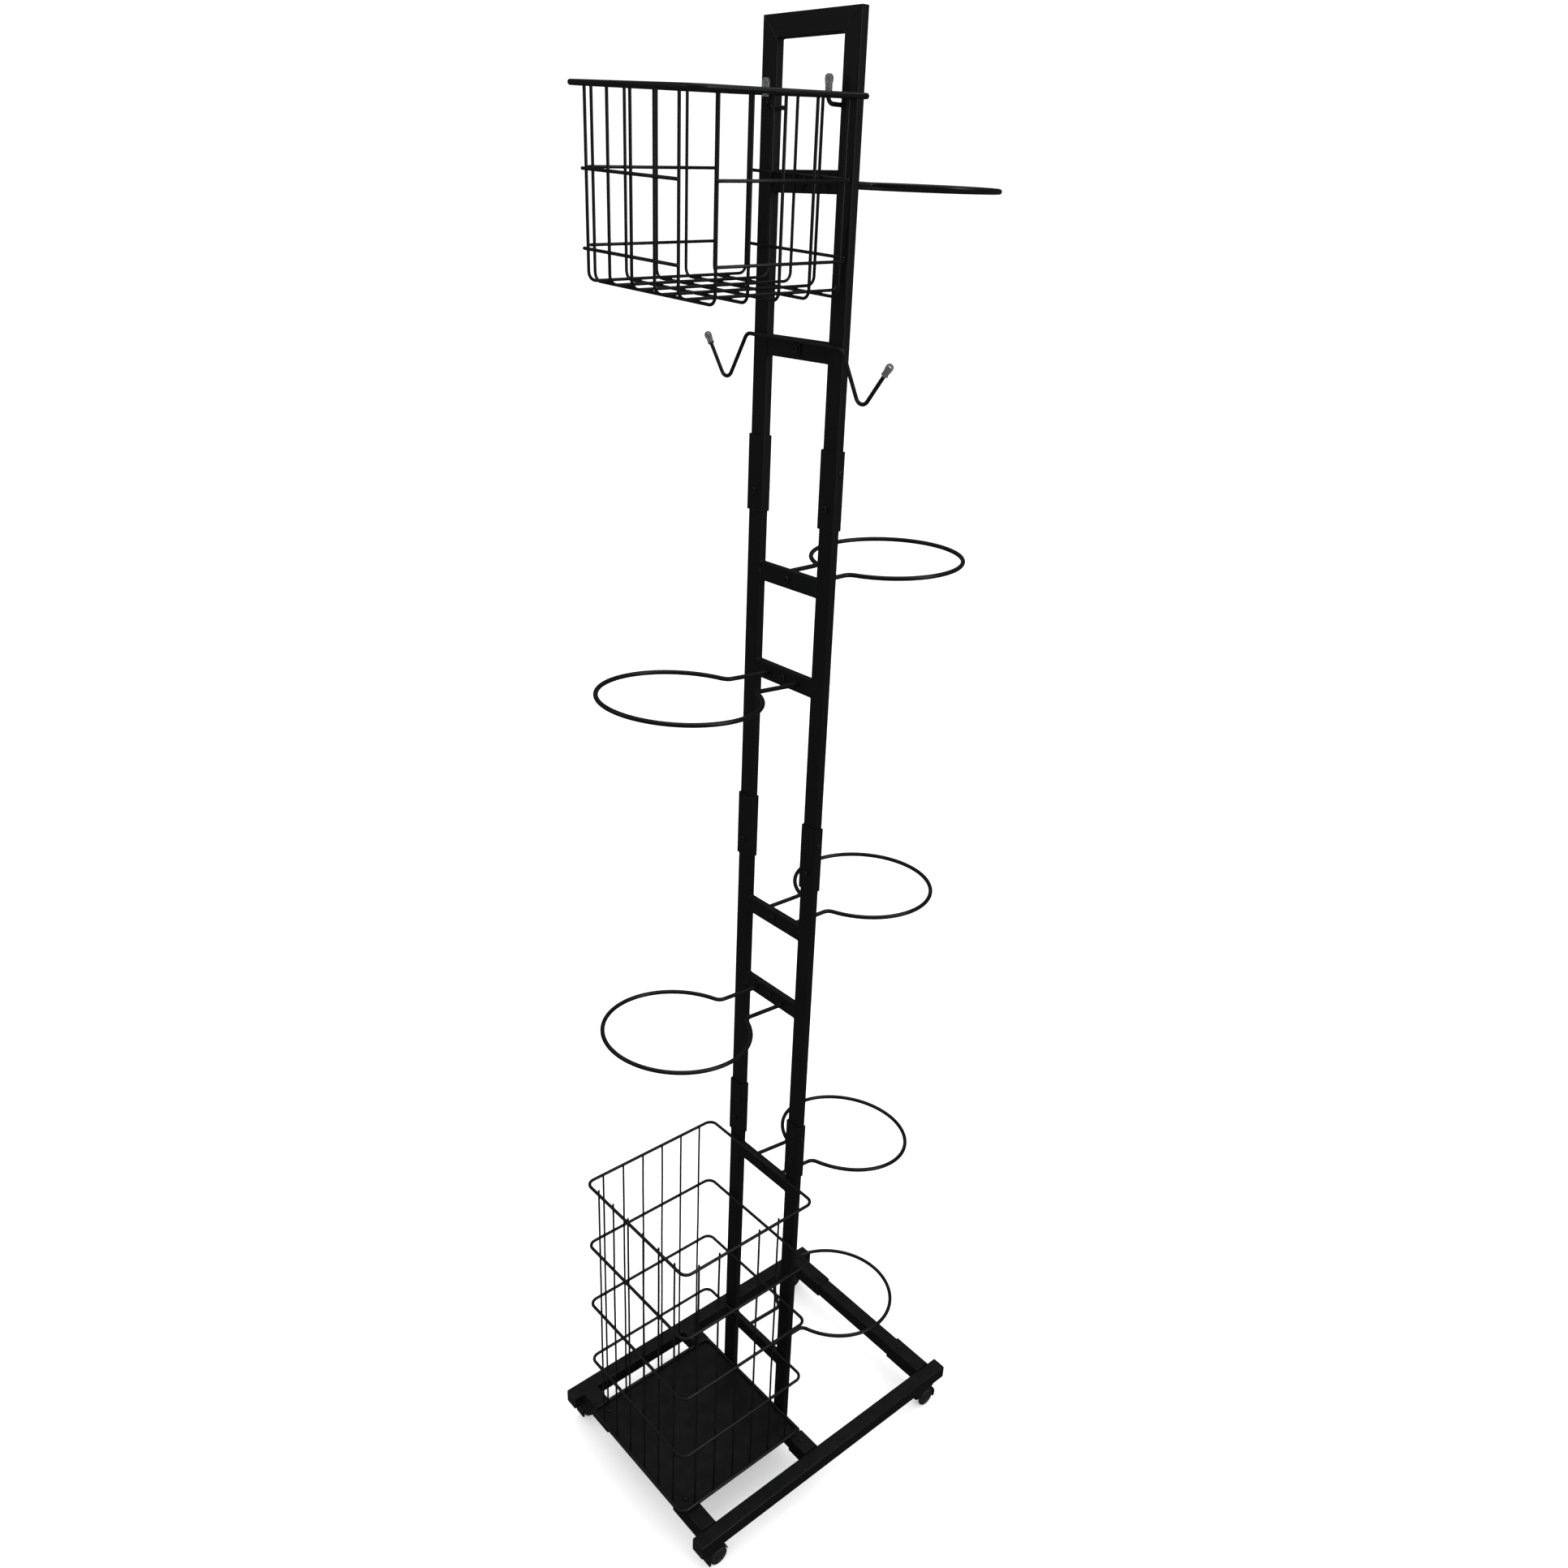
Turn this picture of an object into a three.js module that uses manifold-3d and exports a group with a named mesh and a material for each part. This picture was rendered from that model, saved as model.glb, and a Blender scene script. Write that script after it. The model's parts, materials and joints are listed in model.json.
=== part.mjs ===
// A wheeled display stand for balls: a narrow two-upright ladder on a rectangular rolling base,
// with wire rings that each hold a ball, a double hook, a hanging wire basket and a wire bin.
// Millimetres, +Z up. The origin is on the floor, midway between the uprights and in their plane.
// +X runs along the rungs. The basket and the bin are on the -Y side, which is the front.

import * as THREE from "three";
import { mergeVertices } from "three/addons/utils/BufferGeometryUtils.js";
import Module from "manifold-3d";

const wasm = await Module();
wasm.setup();

// ---- Driving dimensions ----

const GAP = 0.3; // between neighbouring pieces
const WALL = 1.2; // of every tube

// Castors and base
const CASTOR_HEIGHT = 35; // floor to the underside of the base bars
const BAR = 20; // square tube of the base
const BASE_WIDTH = 308; // over the two long bars, along X
const BAR_FRONT = -215; // ends of the long bars
const BAR_BACK = 228;
const SOCKET_WALL = 1.2;
const FRONT_TUBE_Y = -190;
const REAR_TUBE_Y = 202;
const OUTER_SOCKET_REACH = 75; // |x| where the front and rear sockets end
const MIDDLE_SOCKET_REACH = 103; // |x| where the middle sockets end
const CASTOR_INSET = 18; // castor stem from the end of its bar

// Ladder
const UPRIGHT_SPACING = 110; // centre to centre
const UPRIGHT = { width: 20, depth: 10 };
const RUNG = { height: 20, depth: 8 };
const TUBE_CORNER = 1.5; // outside corner radius of the ladder tubes
const LADDER_TOP = 1734;
const JOINTS = [505, 912, 1320]; // heights where one ladder section stands on the next
const RUNG_HEIGHTS = [139, 440, 703, 810, 1109, 1218, 1448, 1596];
const SLEEVE = { length: 78, wall: 1.5, screwDrop: 18 };

// Ball rings: the rung each is on, its side of the ladder and its slope away from the rung in degrees
const RINGS = [
  { rung: 0, side: 1, slope: -3 },
  { rung: 1, side: 1, slope: -7 },
  { rung: 2, side: -1, slope: 3.5 },
  { rung: 3, side: 1, slope: -1 },
  { rung: 4, side: -1, slope: 3 },
  { rung: 5, side: 1, slope: 1.5 },
  { rung: 7, side: 1, slope: 0 },
];
const RING = { wire: 5, radius: 86, reach: 143, halfNeck: 24, neckBend: 10 };
const HOOK_RUNG = 6;
const HOOK = {
  wire: 4,
  centre: -3, // it hangs slightly to the left
  tilt: 1, // degrees, left end up
  shoulder: 70,
  valley: 100,
  tip: 134,
  rise: 7.5,
  drop: 53,
  lift: 45,
  bend: 9,
};

// Hanging basket
const BASKET_HOOK = { wire: 4, height: 1658, reach: -18.1, top: 1679, bend: 6 };
const BASKET = {
  rimWire: 5,
  wire: 3,
  centre: -2, // it hangs slightly to the left
  halfWidth: 93.5, // rim centre line
  back: -10.5,
  depth: 191.5,
  rimZ: 1667.5, // over the middle of the ladder
  droop: 2.3, // degrees, front edge down: the soft hook caps hold the rim, the low band nears the uprights
  lean: 2.9, // degrees, right side down
  rimCorner: 14,
  wires: 5,
  wireSpanX: 135, // first to last wire
  wireSpanY: 141,
  bandDrops: [66, 131], // side bands, below the rim
  depthZ: 158.5,
  bend: 8,
};

// Wire bin on its tray
const TRAY = { halfWidth: 103.5, front: -209.5, back: -5.6, thickness: 1.2 };
const BIN = {
  wire: 4,
  upright: 2.5,
  centre: 1.5, // it stands slightly to the right
  halfWidth: 101, // centre line of the hoops
  front: -208,
  back: -9.5,
  corner: 10,
  rings: 5,
  pitch: 98.9,
  wires: 6, // on each side but the back
  wireSpanX: 156,
  wireSpanY: 152.5,
  nub: 3, // uprights stand this far above the top ring
};

const BOLT = { shank: 2, clearance: 2.4, head: 4, headHeight: 2.2 };
const CAP = { wall: 1.7, basketLength: 16, hookLength: 13 };
const CASTOR = {
  wheel: 13, // radius
  trail: 12, // stem axis to wheel axis
  halfWidth: 8, // to the outer face of each disc
  web: 7, // thickness of the housing between the discs
  hub: 3,
  fenderInside: 13.6,
  fenderOutside: 15.2,
  noseOutside: 17.2, // the fender is thicker in front of the discs
  bossRadius: 6.5,
  bossBottom: 27.5,
  stem: 4,
  stemBottom: 29,
  stemTop: 48,
};

// Sizes that follow
const BAR_TOP = CASTOR_HEIGHT + BAR;
const BAR_X = BASE_WIDTH / 2 - BAR / 2;
const MIDDLE_TUBE_Y = -(UPRIGHT.depth / 2 + GAP + BAR / 2);
const SOCKET = BAR + 2 * (GAP + SOCKET_WALL);
const TRAY_Z = CASTOR_HEIGHT + BAR / 2 + SOCKET / 2 + GAP;

// ---- Materials ----

const FINISHES = {
  powder: { color: 0x0c0c0e, roughness: 0.5, metalness: 0.25 },
  wire: { color: 0x0e0e10, roughness: 0.45, metalness: 0.25 },
  bolt: { color: 0x17171a, roughness: 0.4, metalness: 0.7 },
  vinyl: { color: 0xb9bcbd, roughness: 0.25, metalness: 0 },
  castor: { color: 0x0b0b0c, roughness: 0.6, metalness: 0 },
  tread: { color: 0x161617, roughness: 0.75, metalness: 0 },
  steel: { color: 0x8d9094, roughness: 0.35, metalness: 1 },
};

// ---- Solids ----

const stand = new THREE.Group();

// Manifold solid from a closed three.js geometry.
function solid(geometry) {
  const bare = geometry.index ? geometry.toNonIndexed() : geometry.clone();
  bare.deleteAttribute("normal");
  bare.deleteAttribute("uv");
  const merged = mergeVertices(bare, 1e-4);
  return new wasm.Manifold(
    new wasm.Mesh({
      numProp: 3,
      vertProperties: merged.attributes.position.array,
      triVerts: new Uint32Array(merged.index.array),
    }),
  );
}

const union = (solids) => solids.reduce((whole, piece) => whole.add(piece));

// Adds a named piece to the stand, with a material of its own.
function addPiece(name, shape, finish) {
  const made = shape.getMesh();
  const geometry = new THREE.BufferGeometry();
  geometry.setAttribute("position", new THREE.BufferAttribute(new Float32Array(made.vertProperties), 3));
  geometry.setIndex(new THREE.BufferAttribute(new Uint32Array(made.triVerts), 1));
  geometry.computeVertexNormals();
  const mesh = new THREE.Mesh(geometry, new THREE.MeshStandardMaterial(FINISHES[finish]));
  mesh.name = name;
  stand.add(mesh);
}

// Turns a shape drawn in the XY plane and extruded along +Z so that it runs along another axis:
// along "x" the section's (u, v) become (y, z), and along "y" they become (z, x).
const TURNS = {
  x: new THREE.Matrix4().makeBasis(
    new THREE.Vector3(0, 1, 0),
    new THREE.Vector3(0, 0, 1),
    new THREE.Vector3(1, 0, 0),
  ),
  y: new THREE.Matrix4().makeBasis(
    new THREE.Vector3(0, 0, 1),
    new THREE.Vector3(1, 0, 0),
    new THREE.Vector3(0, 1, 0),
  ),
  z: new THREE.Matrix4(),
};

function roundedRectangle(width, height, radius) {
  const shape = new THREE.Shape();
  const w = width / 2;
  const h = height / 2;
  if (radius === 0) {
    return shape.moveTo(-w, -h).lineTo(w, -h).lineTo(w, h).lineTo(-w, h).closePath();
  }
  shape.absarc(w - radius, radius - h, radius, -Math.PI / 2, 0);
  shape.absarc(w - radius, h - radius, radius, 0, Math.PI / 2);
  shape.absarc(radius - w, h - radius, radius, Math.PI / 2, Math.PI);
  shape.absarc(radius - w, radius - h, radius, Math.PI, 1.5 * Math.PI);
  return shape.closePath();
}

// A straight prism of rounded-rectangle section from `from` to `to` on one axis.
function prism(axis, from, to, u, v, radius, centre) {
  const shape = roundedRectangle(u, v, radius);
  const geometry = new THREE.ExtrudeGeometry(shape, {
    depth: to - from,
    bevelEnabled: false,
    curveSegments: 1,
  });
  geometry.translate(0, 0, from).applyMatrix4(TURNS[axis]).translate(...centre);
  return solid(geometry);
}

// A box between two corners.
function box(low, high) {
  const size = high.map((value, i) => value - low[i]);
  const geometry = new THREE.BoxGeometry(...size);
  return solid(geometry.translate(...low.map((value, i) => value + size[i] / 2)));
}

// A round bar from `from` to `to` on one axis through `centre`.
function rod(axis, radius, from, to, centre, sides = 8) {
  const geometry = new THREE.CylinderGeometry(radius, radius, to - from, sides);
  geometry.rotateX(Math.PI / 2).translate(0, 0, (from + to) / 2);
  return solid(geometry.applyMatrix4(TURNS[axis]).translate(...centre));
}

// A curve through listed points, met exactly one after another.
class WirePath extends THREE.Curve {
  constructor(points) {
    super();
    this.points = points;
  }

  getPoint(t, target = new THREE.Vector3()) {
    const last = this.points.length - 1;
    const i = Math.min(Math.floor(t * last), last - 1);
    return target.lerpVectors(this.points[i], this.points[i + 1], t * last - i);
  }

  getUtoTmapping(u) {
    return u;
  }
}

// A wire of even section along a path of points.
function wire(points, diameter, sides = 6) {
  const section = new THREE.Shape();
  for (let i = 0; i < sides; i++) {
    const angle = (2 * Math.PI * (i + 0.5)) / sides;
    const x = (Math.cos(angle) * diameter) / 2;
    const y = (Math.sin(angle) * diameter) / 2;
    if (i === 0) section.moveTo(x, y);
    else section.lineTo(x, y);
  }
  section.closePath();
  const extrudePath = new WirePath(points);
  return solid(new THREE.ExtrudeGeometry(section, { steps: points.length - 1, extrudePath }));
}

// The points of a bent wire: straight runs between corners, with a bend of one radius at each corner.
function bentPoints(corners, radius, steps = 4) {
  const points = [corners[0]];
  for (let i = 1; i < corners.length - 1; i++) {
    const arrive = corners[i].clone().sub(corners[i - 1]).normalize();
    const leave = corners[i + 1].clone().sub(corners[i]).normalize();
    const turn = arrive.angleTo(leave);
    const start = corners[i].clone().addScaledVector(arrive, -radius * Math.tan(turn / 2));
    const axis = arrive.clone().cross(leave).normalize();
    const outward = arrive.clone().cross(axis).multiplyScalar(radius);
    const centre = start.clone().sub(outward);
    for (let k = 0; k <= steps; k++) {
      points.push(outward.clone().applyAxisAngle(axis, (turn * k) / steps).add(centre));
    }
  }
  points.push(corners[corners.length - 1]);
  return points;
}

// A closed flat hoop of rounded-rectangle outline and square section, its edges eased if `ease` is set.
function hoop(halfX, halfY, corner, thickness, centre, ease = 0) {
  const half = thickness / 2;
  const outline = roundedRectangle(2 * (halfX + half), 2 * (halfY + half), corner + half);
  outline.holes.push(roundedRectangle(2 * (halfX - half), 2 * (halfY - half), corner - half));
  const geometry = new THREE.ExtrudeGeometry(outline, {
    depth: thickness - 2 * ease,
    bevelEnabled: ease > 0,
    bevelSegments: 1,
    bevelSize: ease,
    bevelOffset: -ease,
    bevelThickness: ease,
    curveSegments: 3,
  });
  return solid(geometry.translate(centre[0], centre[1], centre[2] - half + ease));
}

// Evenly spaced values about a centre.
function spread(count, span, centre = 0) {
  return Array.from({ length: count }, (_, i) => centre - span / 2 + (span * i) / (count - 1));
}

// ---- Base ----

// The castor stems' places, front pair first.
function castorPlaces() {
  const places = [];
  for (const [end, y] of [["front", BAR_FRONT + CASTOR_INSET], ["rear", BAR_BACK - CASTOR_INSET]]) {
    for (const [hand, side] of [["left", -1], ["right", 1]]) {
      places.push({ name: `${end}_${hand}`, x: side * BAR_X, y, trail: y < 0 ? 1 : -1 });
    }
  }
  return places;
}

// A long bar with the three sockets welded to its inner face; `side` is -1 for left, 1 for right.
function baseBar(side) {
  const z = CASTOR_HEIGHT + BAR / 2;
  const centre = [side * BAR_X, 0, z];
  const inner = BAR - 2 * WALL;
  let bar = prism("y", BAR_FRONT, BAR_BACK, BAR, BAR, 2, centre);
  const face = BAR_X - BAR / 2 + WALL / 2;
  const sockets = [
    [FRONT_TUBE_Y, OUTER_SOCKET_REACH],
    [MIDDLE_TUBE_Y, MIDDLE_SOCKET_REACH],
    [REAR_TUBE_Y, OUTER_SOCKET_REACH],
  ];
  for (const [y, reach] of sockets) {
    const ends = [side * reach, side * face].sort((a, b) => a - b);
    const bore = [side * (reach - 1), side * (BAR_X - BAR / 2)].sort((a, b) => a - b);
    bar = bar.add(prism("x", ...ends, SOCKET, SOCKET, 2, [0, y, z]));
    bar = bar.subtract(prism("x", ...bore, BAR + 2 * GAP, BAR + 2 * GAP, 2, [0, y, z]));
  }
  bar = bar.subtract(prism("y", BAR_FRONT + WALL, BAR_BACK - WALL, inner, inner, 1, centre));
  for (const place of castorPlaces().filter((p) => p.x * side > 0)) {
    const stemHole = rod("z", CASTOR.stem + 0.4, CASTOR_HEIGHT - 1, z, [place.x, place.y, 0]);
    bar = bar.subtract(stemHole);
  }
  return bar.subtract(trayScrewHole(side));
}

// The hole for the screw that joins tray, socket and front cross tube.
function trayScrewHole(side) {
  const top = TRAY_Z + TRAY.thickness + 1;
  return rod("z", BOLT.clearance, CASTOR_HEIGHT + BAR / 2, top, [side * (OUTER_SOCKET_REACH + 11), FRONT_TUBE_Y, 0]);
}

function crossTube(y) {
  const end = BAR_X - BAR / 2 - GAP;
  const centre = [0, y, CASTOR_HEIGHT + BAR / 2];
  const inner = BAR - 2 * WALL;
  const tube = prism("x", -end, end, BAR, BAR, 2, centre);
  return tube.subtract(prism("x", -end - 1, end + 1, inner, inner, 1, centre));
}

function tray() {
  const low = [-TRAY.halfWidth, TRAY.front, TRAY_Z];
  const high = [TRAY.halfWidth, TRAY.back, TRAY_Z + TRAY.thickness];
  return box(low, high).subtract(trayScrewHole(-1)).subtract(trayScrewHole(1));
}

// A pan-head bolt whose head sits on the point and whose shank runs `length` into it.
function bolt(axis, seat, length) {
  const along = axis === "y" ? 1 : -1;
  const head = [-along * BOLT.headHeight, 0].sort((a, b) => a - b);
  const shank = [0, along * length].sort((a, b) => a - b);
  return rod(axis, BOLT.head, ...head, seat, 10).add(rod(axis, BOLT.shank, ...shank, seat, 6));
}

function buildBase() {
  addPiece("base_bar_left", baseBar(-1), "powder");
  addPiece("base_bar_right", baseBar(1), "powder");
  addPiece("front_cross_tube", crossTube(FRONT_TUBE_Y).subtract(trayScrewHole(-1)).subtract(trayScrewHole(1)), "powder");
  addPiece("middle_cross_tube", crossTube(MIDDLE_TUBE_Y), "powder");
  addPiece("rear_cross_tube", crossTube(REAR_TUBE_Y), "powder");
  addPiece("tray", tray(), "powder");
  for (const [hand, side] of [["left", -1], ["right", 1]]) {
    const seat = [side * (OUTER_SOCKET_REACH + 11), FRONT_TUBE_Y, TRAY_Z + TRAY.thickness + GAP];
    addPiece(`tray_screw_${hand}`, bolt("z", seat, 9), "bolt");
  }
}

// ---- Castors ----

// The housing that swivels: a web between the two discs, a boss for the stem and a fender over the discs
// and down in front of them.
function castorHousing(place) {
  const { wheel, trail, halfWidth, web, hub, fenderInside, fenderOutside, noseOutside } = CASTOR;
  const top = CASTOR_HEIGHT - GAP;
  // Profiles are drawn in the (y, z) plane, with the wheel's axis at the origin and the stem towards -y.
  const side = new THREE.Shape();
  side.moveTo(-trail - 5, CASTOR.bossBottom - wheel + 1);
  side.lineTo(-trail - 5, CASTOR.bossBottom - wheel - 5);
  side.lineTo(-8, -6);
  side.lineTo(0, -9);
  side.lineTo(7, -6);
  side.absarc(0, 0, fenderOutside - 0.4, 0.3, 1.7, false);
  side.lineTo(-trail + 5, CASTOR.bossBottom - wheel + 1);
  side.closePath();
  const fender = new THREE.Shape();
  fender.absarc(0, 0, fenderOutside, 0.3, 1.9, false);
  fender.absarc(0, 0, noseOutside, 2.15, 3.55, false);
  fender.absarc(0, 0, fenderInside, 3.55, 0.3, true);
  fender.closePath();
  const plate = (shape, width) => {
    const options = { depth: width, bevelEnabled: false, curveSegments: 6 };
    const geometry = new THREE.ExtrudeGeometry(shape, options);
    geometry.translate(0, 0, -width / 2).applyMatrix4(TURNS.x);
    if (place.trail < 0) geometry.rotateZ(Math.PI);
    return solid(geometry.translate(place.x, place.y + place.trail * trail, wheel));
  };
  const boss = rod("z", CASTOR.bossRadius, CASTOR.bossBottom, top, [place.x, place.y, 0], 12);
  const stemBore = rod("z", CASTOR.stem + 0.4, CASTOR.stemBottom - 0.5, top + 1, [place.x, place.y, 0], 12);
  const hubBore = rod("x", hub + GAP, -web, web, [place.x, place.y + place.trail * trail, wheel], 12);
  return union([plate(side, web), plate(fender, 2 * halfWidth), boss]).subtract(stemBore).subtract(hubBore);
}

// Two discs on one hub, turning on X.
function castorWheel(place) {
  const { wheel, halfWidth, hub, web } = CASTOR;
  const inner = web / 2 + GAP;
  const face = [
    [0, halfWidth],
    [wheel - 4, halfWidth],
    [wheel - 0.8, halfWidth - 1],
    [wheel, halfWidth - 2],
    [wheel, inner + 0.6],
    [wheel - 0.8, inner],
    [hub, inner],
  ];
  const profile = [...face, ...face.toReversed().map(([r, x]) => [r, -x])].reverse();
  const geometry = new THREE.LatheGeometry(profile.map(([r, x]) => new THREE.Vector2(r, x)), 16);
  geometry.rotateZ(-Math.PI / 2);
  return solid(geometry.translate(place.x, place.y + place.trail * CASTOR.trail, wheel));
}

function castorStem(place) {
  const { stem, stemBottom, stemTop } = CASTOR;
  return rod("z", stem, stemBottom, stemTop, [place.x, place.y, 0], 12);
}

function buildCastors() {
  for (const place of castorPlaces()) {
    addPiece(`castor_housing_${place.name}`, castorHousing(place), "castor");
    addPiece(`castor_wheel_${place.name}`, castorWheel(place), "tread");
    addPiece(`castor_stem_${place.name}`, castorStem(place), "steel");
  }
}

// ---- Ladder ----

// The screw height of the sleeve over each joint.
const sleeveScrewZ = (joint) => joint - SLEEVE.screwDrop;

// One welded section: two uprights, its rungs and, on the top one, the bar that closes it.
function ladderSection(from, to, closed) {
  const outer = [];
  const inner = [];
  const cuts = [];
  const half = UPRIGHT_SPACING / 2;
  for (const x of [-half, half]) {
    outer.push(prism("z", from, to, UPRIGHT.width, UPRIGHT.depth, TUBE_CORNER, [x, 0, 0]));
    const roof = closed ? to - WALL : to + 1;
    const size = [UPRIGHT.width - 2 * WALL, UPRIGHT.depth - 2 * WALL];
    inner.push(prism("z", from - 1, roof, ...size, 0, [x, 0, 0]));
    for (const joint of JOINTS.filter((z) => sleeveScrewZ(z) > from && sleeveScrewZ(z) < to)) {
      cuts.push(rod("y", BOLT.clearance, -UPRIGHT.depth, 0, [x, 0, sleeveScrewZ(joint)]));
    }
  }
  if (closed) {
    const size = [UPRIGHT.depth, UPRIGHT.width];
    const centre = [0, 0, to - UPRIGHT.width / 2];
    outer.push(prism("x", -half, half, ...size, TUBE_CORNER, centre));
    inner.push(prism("x", -half, half, size[0] - 2 * WALL, size[1] - 2 * WALL, 0, centre));
  }
  RUNG_HEIGHTS.forEach((z, rung) => {
    if (z < from || z > to) return;
    const centre = [0, 0, z];
    const end = half - UPRIGHT.width / 2;
    outer.push(prism("x", -end - 1, end + 1, RUNG.depth, RUNG.height, TUBE_CORNER, centre));
    inner.push(prism("x", -end, end, RUNG.depth - 2 * WALL, RUNG.height - 2 * WALL, 0, centre));
    cuts.push(rod("y", BOLT.clearance, -RUNG.depth, RUNG.depth, centre));
    for (const ring of RINGS.filter((r) => r.rung === rung)) {
      for (const x of [-RING.halfNeck, RING.halfNeck]) {
        const reach = [0, ring.side * RUNG.depth].sort((a, b) => a - b);
        cuts.push(rod("y", RING.wire / 2 + 0.5, ...reach, [x, 0, z]));
      }
    }
  });
  return union(outer).subtract(union(inner)).subtract(union(cuts));
}

// A channel that wraps the front and both sides of the two tubes that meet in it.
function sleeve(x, joint) {
  const width = UPRIGHT.width + 2 * (GAP + SLEEVE.wall);
  const front = -(UPRIGHT.depth / 2 + GAP + SLEEVE.wall);
  const low = joint - SLEEVE.length / 2;
  const high = joint + SLEEVE.length / 2;
  const channel = box([x - width / 2, front, low], [x + width / 2, UPRIGHT.depth / 2, high]);
  const inside = UPRIGHT.width / 2 + GAP;
  const hollow = box([x - inside, front + SLEEVE.wall, low - 1], [x + inside, UPRIGHT.depth, high + 1]);
  return channel.subtract(hollow).subtract(rod("y", BOLT.clearance, front - 1, 0, [x, 0, sleeveScrewZ(joint)]));
}

function buildLadder() {
  const levels = [CASTOR_HEIGHT, ...JOINTS, LADDER_TOP];
  const names = ["bottom_ladder", "lower_ladder", "upper_ladder", "top_ladder"];
  names.forEach((name, i) => {
    const from = levels[i] + (i === 0 ? 0 : GAP / 2);
    const to = levels[i + 1] - (i === names.length - 1 ? 0 : GAP / 2);
    addPiece(name, ladderSection(from, to, i === names.length - 1), "powder");
  });
  const front = -(UPRIGHT.depth / 2 + GAP + SLEEVE.wall) - GAP;
  ["lower", "middle", "upper"].forEach((level, i) => {
    for (const [hand, side] of [["left", -1], ["right", 1]]) {
      const x = (side * UPRIGHT_SPACING) / 2;
      addPiece(`joint_sleeve_${level}_${hand}`, sleeve(x, JOINTS[i]), "powder");
      const seat = [x, front, sleeveScrewZ(JOINTS[i])];
      addPiece(`sleeve_screw_${level}_${hand}`, bolt("y", seat, 5), "bolt");
    }
  });
}

// ---- Rings and hooks ----

// The omega-shaped wire of a ball ring, lying in the XY plane with the rung at y = 0.
function ringOutline() {
  const { radius, reach, halfNeck, neckBend } = RING;
  const bendX = -halfNeck - neckBend;
  const bendY = reach - Math.sqrt((radius + neckBend) ** 2 - bendX ** 2);
  const meet = Math.atan2(reach - bendY, -bendX);
  const half = [];
  for (let k = 0; k <= 2; k++) {
    const angle = (meet * k) / 2;
    half.push([bendX + neckBend * Math.cos(angle), bendY + neckBend * Math.sin(angle)]);
  }
  const steps = 8;
  const start = meet + Math.PI;
  for (let k = 1; k <= steps; k++) {
    const angle = start + ((Math.PI / 2 - start) * k) / steps;
    half.push([radius * Math.cos(angle), reach + radius * Math.sin(angle)]);
  }
  const mirrored = half.slice(0, -1).reverse();
  return [...half, ...mirrored.map(([x, y]) => [-x, y])];
}

// A ball ring: its legs go level through the rung's near wall, and it slopes from just outside.
function ballRing({ rung, side, slope }) {
  const inside = -1.2; // the legs end on the tie strip inside the rung
  const bendAt = RUNG.depth / 2 + 4;
  const tilt = THREE.MathUtils.degToRad(slope);
  const rise = (x, y) => {
    const out = y - bendAt;
    return new THREE.Vector3(x, bendAt + out * Math.cos(tilt), out * Math.sin(tilt));
  };
  const points = [
    new THREE.Vector3(-RING.halfNeck, inside, 0),
    new THREE.Vector3(-RING.halfNeck, bendAt, 0),
    ...ringOutline().map(([x, y]) => rise(x, y)),
    new THREE.Vector3(RING.halfNeck, bendAt, 0),
    new THREE.Vector3(RING.halfNeck, inside, 0),
  ];
  const stripReach = RING.halfNeck + 5;
  const strip = box([-stripReach, -2.5, -5], [stripReach, -0.7, 5]);
  const hole = rod("y", BOLT.clearance, -4, 2, [0, 0, 0]);
  const ring = wire(points, RING.wire).add(strip.subtract(hole));
  const turned = side < 0 ? ring.rotate([0, 0, 180]) : ring;
  return turned.translate([0, 0, RUNG_HEIGHTS[rung]]);
}

// A soft cap over the end of a wire: its tip at `tip`, its open end back along `direction`.
function wireCap(tip, direction, wireDiameter, length) {
  const bore = wireDiameter / 2 + GAP;
  const outer = bore + CAP.wall;
  const profile = [
    [0, 0],
    [outer * 0.7, -0.8],
    [outer, -2.6],
    [outer, -length],
    [bore, -length],
    [bore, -CAP.wall - 0.6],
    [0, -CAP.wall - 0.6],
  ];
  const geometry = new THREE.LatheGeometry(profile.map(([r, y]) => new THREE.Vector2(r, y)).reverse(), 8);
  const turn = new THREE.Quaternion().setFromUnitVectors(new THREE.Vector3(0, 1, 0), direction);
  return solid(geometry.applyQuaternion(turn).translate(tip.x, tip.y, tip.z));
}

// A point of the double hook, `out` from its middle and `down` from its bar, as the hook hangs.
function onDoubleHook(out, down) {
  const tilt = (HOOK.tilt * Math.PI) / 180;
  const bar = RUNG_HEIGHTS[HOOK_RUNG] + HOOK.rise;
  const x = HOOK.centre + out * Math.cos(tilt) - down * Math.sin(tilt);
  const y = -(UPRIGHT.depth / 2 + GAP + HOOK.wire / 2);
  return new THREE.Vector3(x, y, bar - out * Math.sin(tilt) - down * Math.cos(tilt));
}

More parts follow.
